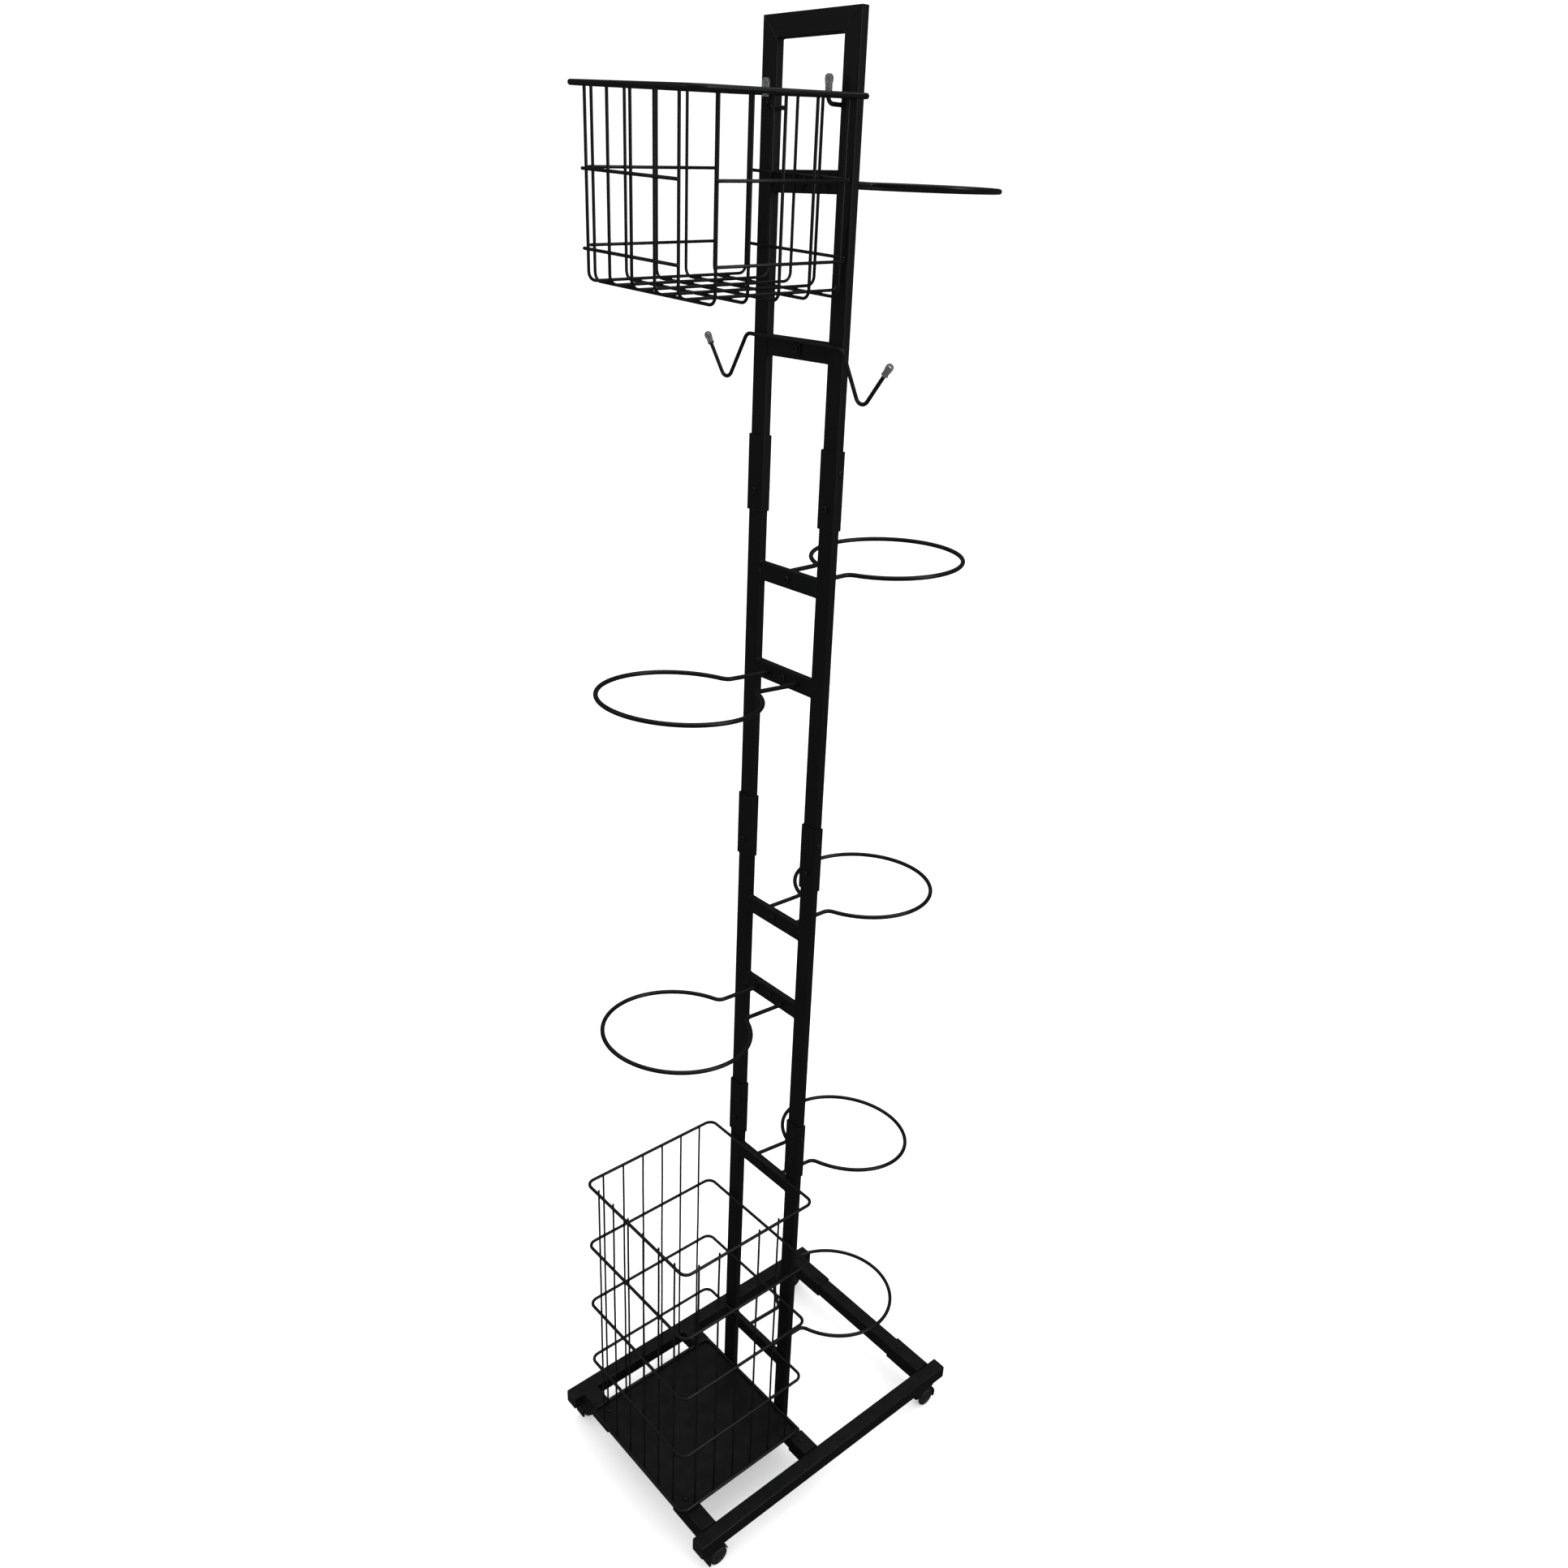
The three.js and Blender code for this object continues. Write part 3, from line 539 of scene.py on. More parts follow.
def nugget(bm, point, size):
    """The small swelling where two crossed wires are spot-welded."""
    profile = [(0.35, -0.9), (0.8, -0.55), (1.0, 0.0), (0.8, 0.55), (0.35, 0.9)]
    turned(bm, [(size * r, size * h) for r, h in profile], point, (0.3, 0.2, 1), sides=8)


def add_piece(name, bm, slot, nodes=(), body=None, ease=0.0, flats=False):
    """Makes a piece of the mesh, in its slot's finish, that rides on its body in place of CAD nodes."""
    bmesh.ops.recalc_face_normals(bm, faces=bm.faces)
    mesh = bpy.data.meshes.new(name)
    bm.to_mesh(mesh)
    bm.free()
    mesh.shade_smooth()
    mesh.set_sharp_from_angle(angle=SHARP)
    mesh.materials.append(MATERIALS[slot])
    piece = bpy.data.objects.new(name, mesh)
    bpy.context.scene.collection.objects.link(piece)
    if ease:
        bevel = piece.modifiers.new("ease", "BEVEL")
        bevel.width = ease
        bevel.segments = 2
        bevel.limit_method = "ANGLE"
        bevel.angle_limit = SHARP
    if ease or flats:
        piece.modifiers.new("flat_faces", "WEIGHTED_NORMAL").keep_sharp = True
    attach(piece, body or BODY_OF[nodes[0]])
    if nodes:
        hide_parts(*nodes)
    return piece


def middle(name):
    low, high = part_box(name)
    return (low + high) / 2


# ---- Screws ----


def socket_screw(bm, seat, outward, length, radius=SCREW_RADIUS, height=SCREW_HEIGHT):
    """A button-head screw with a hexagon socket, its head on the seat and its shank inwards."""
    sides = 36
    seat = Vector(seat)
    outward = Vector(outward).normalized()
    shank = SHANK_RADIUS
    profile = [(shank * 0.6, -length), (shank, -length + shank * 0.5), (shank, 0.0)]
    profile += [(radius - EASE / 2, 0.0), (radius, EASE / 2), (radius, height * 0.35)]
    profile += [(radius * 0.95, height * 0.60), (radius * 0.82, height * 0.83), (radius * 0.66, height)]
    rings = [ring_of_points(seat + outward * h, outward, [r] * sides) for r, h in profile]
    flat = radius * 0.44
    hexagon = []
    for k in range(sides):
        angle = (360 * k / sides + 30) % 60 - 30
        hexagon.append(flat / math.cos(math.radians(angle)))
    for share, depth in ((1.12, height), (1.0, height * 0.93), (1.0, height * 0.30)):
        rings.append(ring_of_points(seat + outward * depth, outward, [r * share for r in hexagon]))
    rings.append(ring_of_points(seat + outward * height * 0.22, outward, [flat * 0.15] * sides))
    loft(bm, rings)


def screw_from_node(node_name, axis, outward):
    """A screw in place of a CAD screw: `outward` is the way its head points along its axis."""
    low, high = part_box(node_name)
    index = "xyz".index(axis)
    length = high[index] - low[index] - SCREW_HEIGHT
    head = high[index] if outward > 0 else low[index]
    seat = (low + high) / 2
    seat[index] = head - outward * SCREW_HEIGHT
    direction = Vector((0, 0, 0))
    direction[index] = outward
    bm = bmesh.new()
    socket_screw(bm, seat, direction, length)
    add_piece(f"{node_name}_look", bm, "screw", [node_name])


# ---- Base ----

CROSS_TUBES = {place: middle(f"{place}_cross_tube") for place in ("front", "middle", "rear")}


def bead_round(bm, profile, axis, along, centre, spacing=0.0009):
    """A rippled weld bead round a rectangular section."""
    corners = at_station(profile, axis, along, centre)
    points = []
    for a, b in zip(corners, corners[1:] + corners[:1]):
        steps = max(1, round((b - a).length / spacing))
        points += [a.lerp(b, k / steps) for k in range(steps)]
    sweep(bm, points, BEAD, sides=8, closed=True, ripple=0.10)


def base_bar(hand, side):
    node_name = f"base_bar_{hand}"
    low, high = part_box(node_name)
    socket_size = high.z - low.z
    centre = (low + high) / 2
    bar_x = (low.x if side < 0 else high.x) - side * BAR / 2
    inner_x = bar_x - side * BAR / 2
    bm = bmesh.new()
    ends = (low.y + PLUG_FLANGE, high.y - PLUG_FLANGE)
    tube(bm, "y", *ends, (BAR, BAR), BAR_CORNER, (bar_x, 0, centre.z))
    outer_reach = high.x if side < 0 else low.x
    for place, line in CROSS_TUBES.items():
        reach = side * MIDDLE_SOCKET_REACH if place == "middle" else outer_reach
        span = sorted((reach, inner_x))
        at = (0, line.y, centre.z)
        tube(bm, "x", *span, (socket_size, socket_size), BAR_CORNER, at)
        ring = rounded_rectangle(socket_size - BEAD, socket_size - BEAD, BAR_CORNER)
        bead_round(bm, ring, "x", inner_x - side * BEAD * 0.4, at)
    add_piece(f"{node_name}_look", bm, "powder_coat", [node_name], flats=True)

    for end, y, out in (("front", low.y, -1), ("rear", high.y, 1)):
        bm = bmesh.new()
        flange = sorted((y, y - out * PLUG_FLANGE))
        solid_bar(bm, "y", *flange, (BAR, BAR), BAR_CORNER, (bar_x, 0, centre.z), ease=0.0006)
        neck = sorted((y - out * PLUG_FLANGE, y - out * PLUG_DEPTH))
        inside = BAR - 2 * WALL - GAP
        solid_bar(bm, "y", *neck, (inside, inside), 0.001, (bar_x, 0, centre.z))
        add_piece(f"bar_plug_{end}_{hand}", bm, "castor_body", body="stand", flats=True)


def cross_tube(place):
    node_name = f"{place}_cross_tube"
    low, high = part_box(node_name)
    bm = bmesh.new()
    tube(bm, "x", low.x, high.x, (BAR, BAR), BAR_CORNER, (low + high) / 2)
    add_piece(f"{node_name}_look", bm, "powder_coat", [node_name], flats=True)


def tray():
    low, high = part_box("tray")
    size = high - low
    bm = bmesh.new()
    solid_bar(bm, "z", low.z, high.z, (size.x, size.y), 0.004, (low + high) / 2, ease=size.z * 0.45)
    add_piece("tray_look", bm, "powder_coat", ["tray"], flats=True)


def socket_screws():
    """Screws down through the top of the rear and middle sockets."""
    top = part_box("base_bar_left")[1].z
    outer_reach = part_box("base_bar_right")[0].x
    for place, reach in (("middle", MIDDLE_SOCKET_REACH), ("rear", outer_reach)):
        for hand, side in SIDES:
            bm = bmesh.new()
            seat = (side * (reach + SOCKET_SCREW_INSET), CROSS_TUBES[place].y, top)
            socket_screw(bm, seat, (0, 0, 1), SOCKET_SCREW_SHANK)
            add_piece(f"socket_screw_{place}_{hand}", bm, "screw", body="stand")


# ---- Castors ----


def castor_wheel(place, axle, radius, half):
    """Both discs on one hub, each with a rounded tread, a shallow dish and a hub cap."""
    face = [
        (0.0008, half - 0.0006),
        (0.0034, half - 0.0006),
        (0.0040, half - 0.0010),
        (0.0040, half - 0.0018),
        (0.0052, half - 0.0020),
        (radius - 0.0042, half - 0.0014),
        (radius - 0.0036, half - 0.0002),
        (radius - 0.0026, half),
        (radius - 0.0010, half - 0.0005),
        (radius - 0.0002, half - 0.0016),
        (radius, half - 0.0028),
        (radius - 0.0004, DISC_INNER + 0.0003),
        (radius - 0.0010, DISC_INNER),
        (HUB_RADIUS, DISC_INNER),
    ]
    profile = face + [(r, -h) for r, h in reversed(face)]
    bm = bmesh.new()
    turned(bm, profile, axle, (1, 0, 0), sides=48)
    add_piece(f"castor_wheel_{place}_look", bm, "castor_wheel", [f"castor_wheel_{place}"])


def castor_housing(place, axle, half, trail, reach, boss):
    """A web between the discs up to the boss, and a hood over the discs and down in front of them."""

    def side_view(points):
        return [(trail * y, z) for y, z in points]

    web = [(-reach - WEB_NECK, boss + 0.004), (-reach - WEB_NECK, boss - 0.004)]
    web += [(-0.010, -0.0055)] + arc(0, 0, WEB_FOOT, 215, 325, 6) + [(WEB_FOOT, -0.0035)]
    web += arc(0, 0, WEB_RADIUS, HOOD_SPAN[0], 100, 10)
    web += [(-reach + WEB_NECK, boss + 0.004)]
    hood = arc(0, 0, HOOD_OUTSIDE, HOOD_SPAN[0], HOOD_STEP[0], 16)
    hood += arc(0, 0, HOOD_NOSE, HOOD_STEP[1], HOOD_SPAN[1], 16)
    hood += arc(0, 0, HOOD_INSIDE, HOOD_SPAN[1], HOOD_SPAN[0], 34)
    at = (0, axle.y, axle.z)
    bm = bmesh.new()
    extruded(bm, side_view(web), "x", axle.x - WEB_HALF, axle.x + WEB_HALF, at)
    extruded(bm, side_view(hood), "x", axle.x - half, axle.x + half, at)
    node_name = f"castor_housing_{place}"
    add_piece(f"{node_name}_look", bm, "castor_body", [node_name], ease=0.0005)


def castor_boss(place, stem, bottom, top):
    """The round socket of the housing that turns on the stem."""
    profile = [
        (BOSS_BORE, bottom - 0.0005),
        (BOSS_RADIUS - 0.0007, bottom - 0.0015),
        (BOSS_RADIUS, bottom - 0.0008),
        (BOSS_RADIUS, top - 0.0010),
        (BOSS_RADIUS - 0.0007, top),
        (BOSS_BORE, top),
    ]
    bm = bmesh.new()
    turned(bm, profile, (stem.x, stem.y, 0), (0, 0, 1), closed=True)
    body = BODY_OF[f"castor_housing_{place}"]
    add_piece(f"castor_boss_{place}", bm, "castor_body", body=body)


def castor_stem(place, stem, low, high):
    r = (high.x - low.x) / 2
    pin = [(r * 0.7, low.z), (r, low.z + 0.0006), (r, high.z - 0.001), (r * 0.7, high.z)]
    bm = bmesh.new()
    turned(bm, pin, (stem.x, stem.y, 0), (0, 0, 1))
    add_piece(f"castor_stem_{place}_look", bm, "stem_steel", [f"castor_stem_{place}"])


def castor(place):
    hub_low, hub_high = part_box(f"castor_wheel_{place}")
    axle = (hub_low + hub_high) / 2
    stem_low, stem_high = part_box(f"castor_stem_{place}")
    stem = (stem_low + stem_high) / 2
    house_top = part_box(f"castor_housing_{place}")[1].z
    radius = (hub_high.z - hub_low.z) / 2
    half = (hub_high.x - hub_low.x) / 2
    trail = 1 if axle.y > stem.y else -1
    castor_wheel(place, axle, radius, half)
    boss_height = stem_low.z - axle.z - 0.0015
    castor_housing(place, axle, half, trail, abs(axle.y - stem.y), boss_height)
    castor_boss(place, stem, stem_low.z, house_top)
    castor_stem(place, stem, stem_low, stem_high)


# ---- Ladder ----

RING_HEIGHTS = [middle(f"ring_bolt_{i}").z for i in range(1, 8)]
HOOK_HEIGHT = middle("hook_bolt").z
LADDER_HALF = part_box("lower_ladder")[1].x - UPRIGHT[0] / 2  # centre line of an upright


def rung(bm, z):
    end = LADDER_HALF - UPRIGHT[0] / 2
    solid_bar(bm, "x", -end - 0.0002, end + 0.0002, RUNG, TUBE_CORNER, (0, 0, z), ease=0.0001)
    ring = rounded_rectangle(RUNG[0] - BEAD * 0.6, RUNG[1] - BEAD * 0.6, TUBE_CORNER)
    for side in (-1, 1):
        bead_round(bm, ring, "x", side * (end - BEAD * 0.3), (0, 0, z))


def closed_top(bm, low, high):
    """Both uprights and the bar across their tops, mitred and welded at the corners."""
    width, depth = UPRIGHT

    def section(inset):
        return rounded_rectangle(width - 2 * inset, depth - 2 * inset, TUBE_CORNER - inset)

    rings = []
    for inset, backwards in ((0.0, False), (WALL, True)):
        profile = section(inset)
        left = [Vector((u - LADDER_HALF, v, 0)) for u, v in profile]
        right = [Vector((LADDER_HALF - u, v, 0)) for u, v in profile]
        heights = [high - width / 2 - u for u, v in profile]
        path = [
            [p + Vector((0, 0, low)) for p in left],
            [p + Vector((0, 0, h)) for p, h in zip(left, heights)],
            [p + Vector((0, 0, h)) for p, h in zip(right, heights)],
            [p + Vector((0, 0, low)) for p in right],
        ]
        rings += path[::-1] if backwards else path
    loft(bm, rings, closed=True)
    for side in (-1, 1):
        outer = Vector((side * (LADDER_HALF + width / 2 - 0.001), 0, high - 0.001))
        inner = Vector((side * (LADDER_HALF - width / 2), 0, high - width))
        for y in (-depth / 2 + 0.0003, depth / 2 - 0.0003):
            offset = Vector((0, y, 0))
            seam = [outer.lerp(inner, k / 24) + offset for k in range(25)]
            sweep(bm, seam, MITRE_BEAD, sides=8, ripple=0.12)


def ladder_section(node_name, closed=False):
    low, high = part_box(node_name)
    bm = bmesh.new()
    if closed:
        closed_top(bm, low.z, high.z)
    else:
        for x in (-LADDER_HALF, LADDER_HALF):
            tube(bm, "z", low.z, high.z, UPRIGHT, TUBE_CORNER, (x, 0, 0))
    for z in RING_HEIGHTS + [HOOK_HEIGHT]:
        if low.z < z < high.z:
            rung(bm, z)
    add_piece(f"{node_name}_look", bm, "powder_coat", [node_name], flats=True)


def sleeve(level, hand):
    """A channel folded round the front and sides of the joint, with a screw in its outer side."""
    node_name = f"joint_sleeve_{level}_{hand}"
    low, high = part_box(node_name)
    x = (low.x + high.x) / 2
    half = (high.x - low.x) / 2
    outline = []
    for inset, backwards in ((0.0, False), (SHEET, True)):
        radius = SHEET_BEND - inset
        corner_y = low.y + SHEET_BEND
        wall = half - inset
        points = [(-wall, high.y)]
        points += arc(-half + SHEET_BEND, corner_y, radius, 180, 270, 5)
        points += arc(half - SHEET_BEND, corner_y, radius, 270, 360, 5)
        points += [(wall, high.y)]
        outline += points[::-1] if backwards else points
    bm = bmesh.new()
    extruded(bm, outline, "z", low.z, high.z, (x, 0, 0))
    add_piece(f"{node_name}_look", bm, "powder_coat", [node_name], ease=0.0003)
    screw_from_node(f"sleeve_screw_{level}_{hand}", "y", -1)

    side = -1 if hand == "left" else 1
    drop = (low.z + high.z) / 2 - middle(f"sleeve_screw_{level}_{hand}").z
    bm = bmesh.new()
    seat = (x + side * half, 0.0, (low.z + high.z) / 2 + drop)
    head = {"radius": SIDE_SCREW_RADIUS, "height": SIDE_SCREW_HEIGHT}
    socket_screw(bm, seat, (side, 0, 0), SIDE_SCREW_SHANK, **head)
    add_piece(f"sleeve_side_screw_{level}_{hand}", bm, "screw", body="stand")


def foot_screws():
    """Screws from behind, through the feet of the uprights into the middle cross tube."""
    back = UPRIGHT[1] / 2
    for hand, side in SIDES:
        bm = bmesh.new()
        seat = (side * LADDER_HALF, back, CROSS_TUBES["middle"].z)
        socket_screw(bm, seat, (0, 1, 0), FOOT_SCREW_SHANK)
        add_piece(f"foot_screw_{hand}", bm, "screw", body="stand")


# ---- Rings and hooks ----


def ring_path(radius, reach):
    """Half of an omega-shaped ring from its neck round to its far point, then mirrored."""
    bend_x = -RING_NECK - RING_NECK_BEND
    bend_y = reach - math.sqrt((radius + RING_NECK_BEND) ** 2 - bend_x**2)
    meet = math.degrees(math.atan2(reach - bend_y, -bend_x))
    half = arc(bend_x, bend_y, RING_NECK_BEND, 0, meet, 6)
    half += arc(0, reach, radius, meet + 180, 90, 36)[1:]
    return half + [(-x, y) for x, y in half[-2::-1]]


def ball_ring(index):
    node_name = f"ball_ring_{index}"
    low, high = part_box(node_name)
    centre = Vector((0, 0, RING_HEIGHTS[index - 1]))
    side = 1 if high.y > -low.y else -1
    slope = math.radians(RING_SLOPES[index - 1])
    bend_at = RUNG[0] / 2 + RING_BEND_OUT
    far = max(high.y, -low.y)
    far = bend_at + (far - bend_at - RING_WIRE) / math.cos(slope)
    radius = (high.x - low.x) / 2 - RING_WIRE
    turn = Matrix.Rotation(math.pi if side < 0 else 0.0, 3, "Z")
    points = [Vector((-RING_NECK, -GAP, 0)), Vector((-RING_NECK, bend_at, 0))]
    for x, y in ring_path(radius, far - radius):
        out = y - bend_at
        points.append(Vector((x, bend_at + out * math.cos(slope), out * math.sin(slope))))
    points += [Vector((RING_NECK, bend_at, 0)), Vector((RING_NECK, -GAP, 0))]
    bm = bmesh.new()
    sweep(bm, [turn @ p + centre for p in points], RING_WIRE, sides=16)
    add_piece(f"{node_name}_look", bm, "coated_wire", [node_name])
    screw_from_node(f"ring_bolt_{index}", "y", -1)


def soft_cap(node_name, tip, direction, length):
    """A clear cap with a bulb at its tip and a rolled lip, open at the back for the wire."""
    bore = HOOK_WIRE + GAP / 2
    wide = bore + CAP_WALL
    outer = [
        (0.0006, 0.0),
        (wide * 0.52, -0.0003),
        (wide * 0.82, -0.0012),
        (wide * 0.98, -0.0027),
        (wide, -0.0042),
        (wide * 0.94, -0.0066),
        (wide * 0.84, -0.0088),
        (wide * 0.82, -length + 0.0016),
        (wide * 0.92, -length + 0.0009),
        (wide * 0.90, -length + 0.0002),
        (bore + 0.0002, -length),
    ]
    inner = [
        (bore, -length + 0.0004),
        (bore, -CAP_END - 0.0014),
        (bore * 0.7, -CAP_END - 0.0003),
        (0.0006, -CAP_END),
    ]
    bm = bmesh.new()
    turned(bm, outer + inner, tip, direction, sides=28)
    add_piece(f"{node_name}_look", bm, "soft_cap", [node_name])


def on_double_hook(out, down, y):
    """A point `out` from the double hook's middle and `down` from its bar, as the hook hangs."""
    x = HOOK_CENTRE + out * math.cos(HOOK_TILT) - down * math.sin(HOOK_TILT)
    z = HOOK_HEIGHT + HOOK_RISE - out * math.sin(HOOK_TILT) - down * math.cos(HOOK_TILT)
    return Vector((x, y, z))


def double_hook():
    low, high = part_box("double_hook")
    y = low.y + HOOK_WIRE
    arm = [(HOOK_TIP, HOOK_DROP - HOOK_LIFT), (HOOK_VALLEY, HOOK_DROP), (HOOK_SHOULDER, 0)]
    left = [on_double_hook(-out, down, y) for out, down in arm]
    right = [on_double_hook(out, down, y) for out, down in arm]
    bm = bmesh.new()
    sweep(bm, bent(left + right[::-1], HOOK_BEND, 10), HOOK_WIRE, sides=16)
    back = -(RUNG[0] / 2 + GAP)
    bottom = HOOK_HEIGHT - HOOK_TAB_DROP
    top = HOOK_HEIGHT + HOOK_RISE + HOOK_TAB_STANDS
    tab_centre = (0, 0, (bottom + top) / 2)
    tab_size = (top - bottom, HOOK_TAB_WIDTH)
    solid_bar(bm, "y", back - HOOK_TAB, back, tab_size, 0.002, tab_centre)
    for dz in (-0.8, 0.4):
        level = HOOK_HEIGHT + HOOK_RISE + dz * HOOK_WIRE
        seam = [Vector((x, back - HOOK_TAB, level)) for x in spread(12, 0.009)]
        sweep(bm, seam, BEAD * 0.8, sides=8, ripple=0.12)
    add_piece("double_hook_look", bm, "coated_wire", ["double_hook"], flats=True)
    screw_from_node("hook_bolt", "y", -1)
    for hand, (tip, valley, _) in (("left", left), ("right", right)):
        run = (tip - valley).normalized()
        soft_cap(f"hook_cap_{hand}", tip + run * (CAP_END + GAP), run, CAP_LENGTHS["hook"])


def basket_hook(hand, side):
    node_name = f"basket_hook_{hand}"
    low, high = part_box(node_name)
    x = (low.x + high.x) / 2
    level = low.z + HOOK_WIRE
    front = low.y + HOOK_WIRE
    corners = [(x, high.y, level), (x, front, level), (x, front, high.z)]
    bm = bmesh.new()
    sweep(bm, bent(corners, BASKET_HOOK_BEND, 8), HOOK_WIRE, sides=16)
    face = side * (LADDER_HALF - UPRIGHT[0] / 2 - GAP)
    for dz in (-1, 1):
        seam = [Vector((face, y, level + dz * HOOK_WIRE * 0.75)) for y in spread(10, 0.008)]
        sweep(bm, seam, BEAD, sides=8, ripple=0.12)
    add_piece(f"{node_name}_look", bm, "coated_wire", [node_name])
    tip = Vector((x, front, high.z + CAP_END + GAP))
    soft_cap(f"basket_hook_cap_{hand}", tip, Vector((0, 0, 1)), CAP_LENGTHS["basket_hook"])


# ---- Hanging basket ----


def hoop_path(half_x, half_y, corner, centre, steps=8):
    profile = rounded_rectangle(2 * half_x, 2 * half_y, corner, steps)
    return [Vector(centre) + Vector((x, y, 0)) for x, y in profile]


def hanging_basket():
    """Drawn level, with the middle of its back rim at the origin, then hung askew as in the CAD."""
    bm = bmesh.new()
    middle_y = -BASKET_DEPTH / 2
    reach_x = BASKET_HALF_WIDTH - RIM - BASKET_WIRE + 0.0005
    reach_y = BASKET_DEPTH / 2 - RIM - BASKET_WIRE + 0.0005
    floor = -BASKET_FLOOR
    lower = floor - 2 * BASKET_WIRE
    rim = hoop_path(BASKET_HALF_WIDTH, BASKET_DEPTH / 2, BASKET_CORNER, (0, middle_y, 0))
    sweep(bm, rim, RIM, sides=16, closed=True)
    along = spread(5, BASKET_SPANS[0])
    across = spread(5, BASKET_SPANS[1], middle_y)
    top = RIM * 0.3
    for x in along:
        front, back = middle_y - reach_y, middle_y + reach_y
        corners = [(x, front, top), (x, front, floor), (x, back, floor), (x, back, top)]
        sweep(bm, bent(corners, BASKET_BEND), BASKET_WIRE, sides=10)
    for y in across:
        corners = [(-reach_x, y, top), (-reach_x, y, lower), (reach_x, y, lower), (reach_x, y, top)]
        sweep(bm, bent(corners, BASKET_BEND), BASKET_WIRE, sides=10)
        for x in along:
            nugget(bm, (x, y, (floor + lower) / 2), BASKET_WIRE * 1.05)

    band_x = along[-1] + 2 * BASKET_WIRE
    band_y = across[-1] - middle_y + 2 * BASKET_WIRE
    out = 1.9 * BASKET_WIRE
    for side in (-1, 1):
        wall_y = middle_y + side * reach_y
        wall_x = side * reach_x
        for x in along:
            nugget(bm, (x, wall_y + side * BASKET_WIRE, -RIM * 0.4), BASKET_WIRE * 1.25)
        for y in across:
            nugget(bm, (wall_x + side * BASKET_WIRE, y, -RIM * 0.4), BASKET_WIRE * 1.25)
        for z in (-drop for drop in BASKET_BANDS):
            y = wall_y + side * out
            x = wall_x + side * out
            sweep(bm, [Vector((e * band_x, y, z)) for e in (-1, 1)], BASKET_WIRE, sides=10)
            sweep(bm, [Vector((x, middle_y + e * band_y, z)) for e in (-1, 1)], BASKET_WIRE, sides=10)
            for at in along:
                nugget(bm, (at, wall_y + side * out / 2, z), BASKET_WIRE * 1.05)
            for at in across:
                nugget(bm, (wall_x + side * out / 2, at, z), BASKET_WIRE * 1.05)

    hang = Matrix.Translation((0, BASKET_BACK, BASKET_RIM_Z))
    hang @= Matrix.Rotation(math.radians(BASKET_LEAN), 4, "Y")
    hang @= Matrix.Rotation(math.radians(BASKET_DROOP), 4, "X")
    hang @= Matrix.Translation((BASKET_CENTRE, 0, 0))
    bm.transform(hang)
    add_piece("hanging_basket_look", bm, "coated_wire", ["hanging_basket"])


# ---- Wire bin ----


def wire_bin():
    """Five hoops, and uprights inside them on every side but the one that faces the ladder."""
    low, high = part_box("wire_bin")
    centre = (low + high) / 2
    half_x = (high.x - low.x) / 2 - BIN_HOOP
    half_y = (high.y - low.y) / 2 - BIN_HOOP
    bottom = low.z + BIN_HOOP
    top = high.z - BIN_NUB
    levels = [bottom + (top - bottom) * i / (BIN_HOOPS - 1) for i in range(BIN_HOOPS)]
    bm = bmesh.new()
    for z in levels:
        hoop = hoop_path(half_x, half_y, BIN_CORNER, (centre.x, centre.y, z))
        sweep(bm, hoop, BIN_HOOP, sides=12, closed=True)
    inset = BIN_HOOP + BIN_UPRIGHT - 0.0003
    feet = [(x, low.y + BIN_HOOP + inset, 0, -1) for x in spread(BIN_UPRIGHTS, BIN_SPANS[0], centre.x)]
    for side in (-1, 1):
        x = centre.x + side * (half_x - inset)
        feet += [(x, y, side, 0) for y in spread(BIN_UPRIGHTS, BIN_SPANS[1], centre.y)]
    for i, (x, y, out_x, out_y) in enumerate(feet):
        points = []
        for k in range(2 * BIN_HOOPS - 1):
            z = bottom + (top - bottom) * k / (2 * BIN_HOOPS - 2)
            bow = BIN_BOW * math.sin(2.3 * i + 1.7 * k) * (k % 2)
            points.append(Vector((x + bow * abs(out_y), y + bow * abs(out_x), z)))
        points.append(Vector((x, y, high.z)))
        points[0].z = low.z + 0.0005
        sweep(bm, points, BIN_UPRIGHT, sides=10)
        for z in levels:
            nugget(bm, (x + out_x * BIN_UPRIGHT, y + out_y * BIN_UPRIGHT, z), BIN_UPRIGHT * 1.15)
    add_piece("wire_bin_look", bm, "coated_wire", ["wire_bin"])


# ---- The stand ----

for hand, side in SIDES:
    base_bar(hand, side)
    screw_from_node(f"tray_screw_{hand}", "z", 1)
for place in CROSS_TUBES:
    cross_tube(place)
tray()
socket_screws()
for end in ("front", "rear"):
    for hand, side in SIDES:
        castor(f"{end}_{hand}")
for section in ("bottom_ladder", "lower_ladder", "upper_ladder"):
    ladder_section(section)
ladder_section("top_ladder", closed=True)
for level in ("lower", "middle", "upper"):
    for hand, side in SIDES:
        sleeve(level, hand)
foot_screws()
for index in range(1, 8):
    ball_ring(index)
double_hook()
for hand, side in SIDES:
    basket_hook(hand, side)
hanging_basket()
wire_bin()


# ---- Floor, light and camera ----

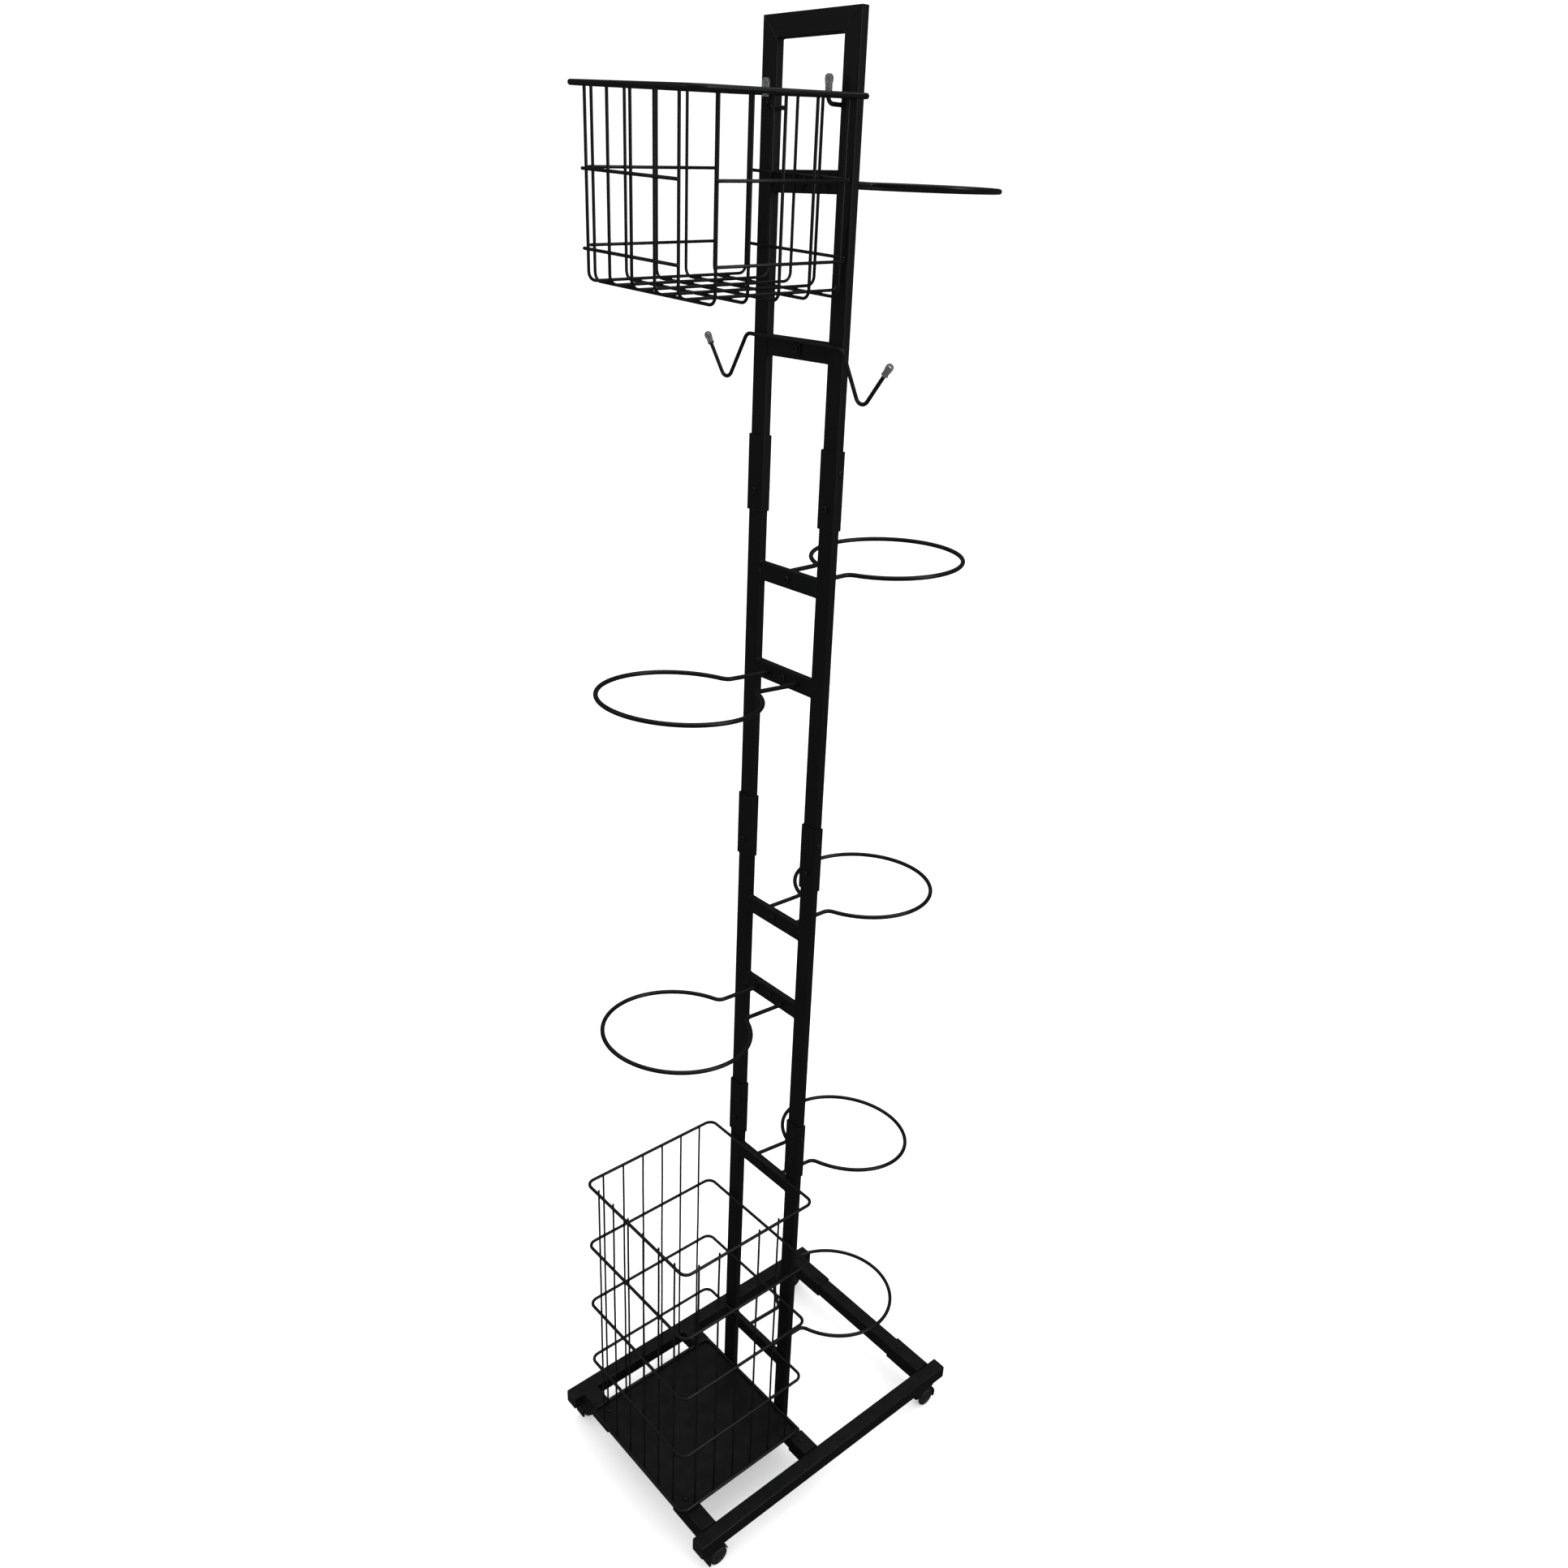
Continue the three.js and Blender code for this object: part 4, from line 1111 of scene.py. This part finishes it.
FLOOR_RADIUS = 40.0
SURROUND = 1.14  # brightness of the surround, which makes the far floor as white
MIRRORED_STAGE = 0.034  # brightness of floor and low surround in glossy reflections
MIRRORED_SKY = 0.24  # and of the surround overhead, which draws a line of light on upper edges
FLOOR_GLOW = 0.30  # light of the floor's own, which keeps its shadows pale
SKY_STARTS = (0.50, 0.85)  # height of a mirrored direction where the sky begins and is full
LIGHTS = (  # name, place, target, size and watts
    ("overhead", (0.3, 0.2, 3.4), (0, 0, 0.6), (2.4, 2.4), 12),
    ("side", (2.8, 0.9, 1.9), (0, 0, 0.8), (1.2, 2.2), 18),
    ("front", (-1.6, -2.6, 2.2), (0, 0, 0.8), (1.4, 1.8), 3),
)
CAMERA_AT = Vector((0.99308, -0.89631, 1.57123))
CAMERA_AZIMUTH = math.radians(47.873)
CAMERA_PITCH = math.radians(24.342)  # downwards
CAMERA_ROLL = math.radians(2.506)
CAMERA_LENS = 29.78  # mm on a 36 mm sensor
CAMERA_SHIFT = (0.0014, 0.0084)


def floor_finish():
    """Plain and pale, with the faintest mottle. Black surfaces mirror a dimmer floor, to stay black."""
    material = bpy.data.materials.new("floor")
    material.use_nodes = True
    tree = material.node_tree
    pale = tree.nodes["Principled BSDF"]
    coords = node(tree, "ShaderNodeTexCoord").outputs["Object"]
    mottle = noise(tree, coords, 3.0, 3.0)
    shade = mix(tree, mottle, colour(0.88, 0.88, 0.88), colour(0.92, 0.92, 0.915))
    tree.links.new(shade, pale.inputs["Base Color"])
    pale.inputs["Roughness"].default_value = 0.8
    pale.inputs["Specular IOR Level"].default_value = 0.1
    pale.inputs["Emission Color"].default_value = grey(1.0)
    pale.inputs["Emission Strength"].default_value = FLOOR_GLOW
    mirrored = node(tree, "ShaderNodeBsdfDiffuse", {"Color": grey(MIRRORED_STAGE)}).outputs[0]
    glossy = node(tree, "ShaderNodeLightPath").outputs["Is Glossy Ray"]
    both = node(tree, "ShaderNodeMixShader", {0: glossy, 1: pale.outputs[0], 2: mirrored})
    tree.links.new(both.outputs[0], tree.nodes["Material Output"].inputs["Surface"])
    return material


def floor():
    bm = bmesh.new()
    turned(bm, [(FLOOR_RADIUS, -0.02), (FLOOR_RADIUS, 0.0)], (0, 0, 0), (0, 0, 1), sides=96)
    bmesh.ops.recalc_face_normals(bm, faces=bm.faces)
    mesh = bpy.data.meshes.new("floor")
    bm.to_mesh(mesh)
    bm.free()
    mesh.materials.append(floor_finish())
    plate = bpy.data.objects.new("floor", mesh)
    bpy.context.scene.collection.objects.link(plate)
    plate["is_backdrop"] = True


def area_light(name, at, target, size, power):
    data = bpy.data.lights.new(name, "AREA")
    data.shape = "RECTANGLE"
    data.size, data.size_y = size
    data.energy = power
    lamp = bpy.data.objects.new(name, data)
    lamp.location = at
    aim = Vector(target) - Vector(at)
    lamp.rotation_euler = aim.to_track_quat("-Z", "Y").to_euler()
    bpy.context.scene.collection.objects.link(lamp)


def studio():
    """An even white surround. Black surfaces mirror a dim one under a brighter sky, to stay black."""
    world = bpy.data.worlds.new("studio")
    bpy.context.scene.world = world
    world.use_nodes = True
    tree = world.node_tree
    background = tree.nodes["Background"]
    glossy = node(tree, "ShaderNodeLightPath").outputs["Is Glossy Ray"]
    direction = node(tree, "ShaderNodeTexCoord").outputs["Generated"]
    height = node(tree, "ShaderNodeSeparateXYZ", {"Vector": direction}).outputs["Z"]
    mirrored = ramp(tree, height, *SKY_STARTS, MIRRORED_STAGE, MIRRORED_SKY)
    shade = mix(tree, glossy, grey(SURROUND), mirrored)
    tree.links.new(shade, background.inputs["Color"])
    background.inputs["Strength"].default_value = 1.0
    for light in LIGHTS:
        area_light(*light)


def camera():
    azimuth, pitch, roll = CAMERA_AZIMUTH, CAMERA_PITCH, CAMERA_ROLL
    forward = Vector(
        (
            -math.sin(azimuth) * math.cos(pitch),
            math.cos(azimuth) * math.cos(pitch),
            -math.sin(pitch),
        )
    )
    right = Vector((math.cos(azimuth), math.sin(azimuth), 0))
    up = right.cross(forward)
    turned_right = right * math.cos(roll) + up * math.sin(roll)
    turned_up = up * math.cos(roll) - right * math.sin(roll)
    data = bpy.data.cameras.new("camera")
    data.sensor_width = 36
    data.lens = CAMERA_LENS
    data.shift_x, data.shift_y = CAMERA_SHIFT
    data.clip_start = 0.02
    view = bpy.data.objects.new("camera", data)
    axes = Matrix((turned_right, turned_up, -forward)).transposed()
    view.matrix_world = Matrix.Translation(CAMERA_AT) @ axes.to_4x4()
    bpy.context.scene.collection.objects.link(view)
    bpy.context.scene.camera = view


floor()
studio()
camera()
bpy.context.scene.view_settings.view_transform = "Standard"

LOOKS_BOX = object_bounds()
boxes = {"cad": CAD_BOX, "looks": LOOKS_BOX}
{name: [list(corner) for corner in box] for name, box in boxes.items()}
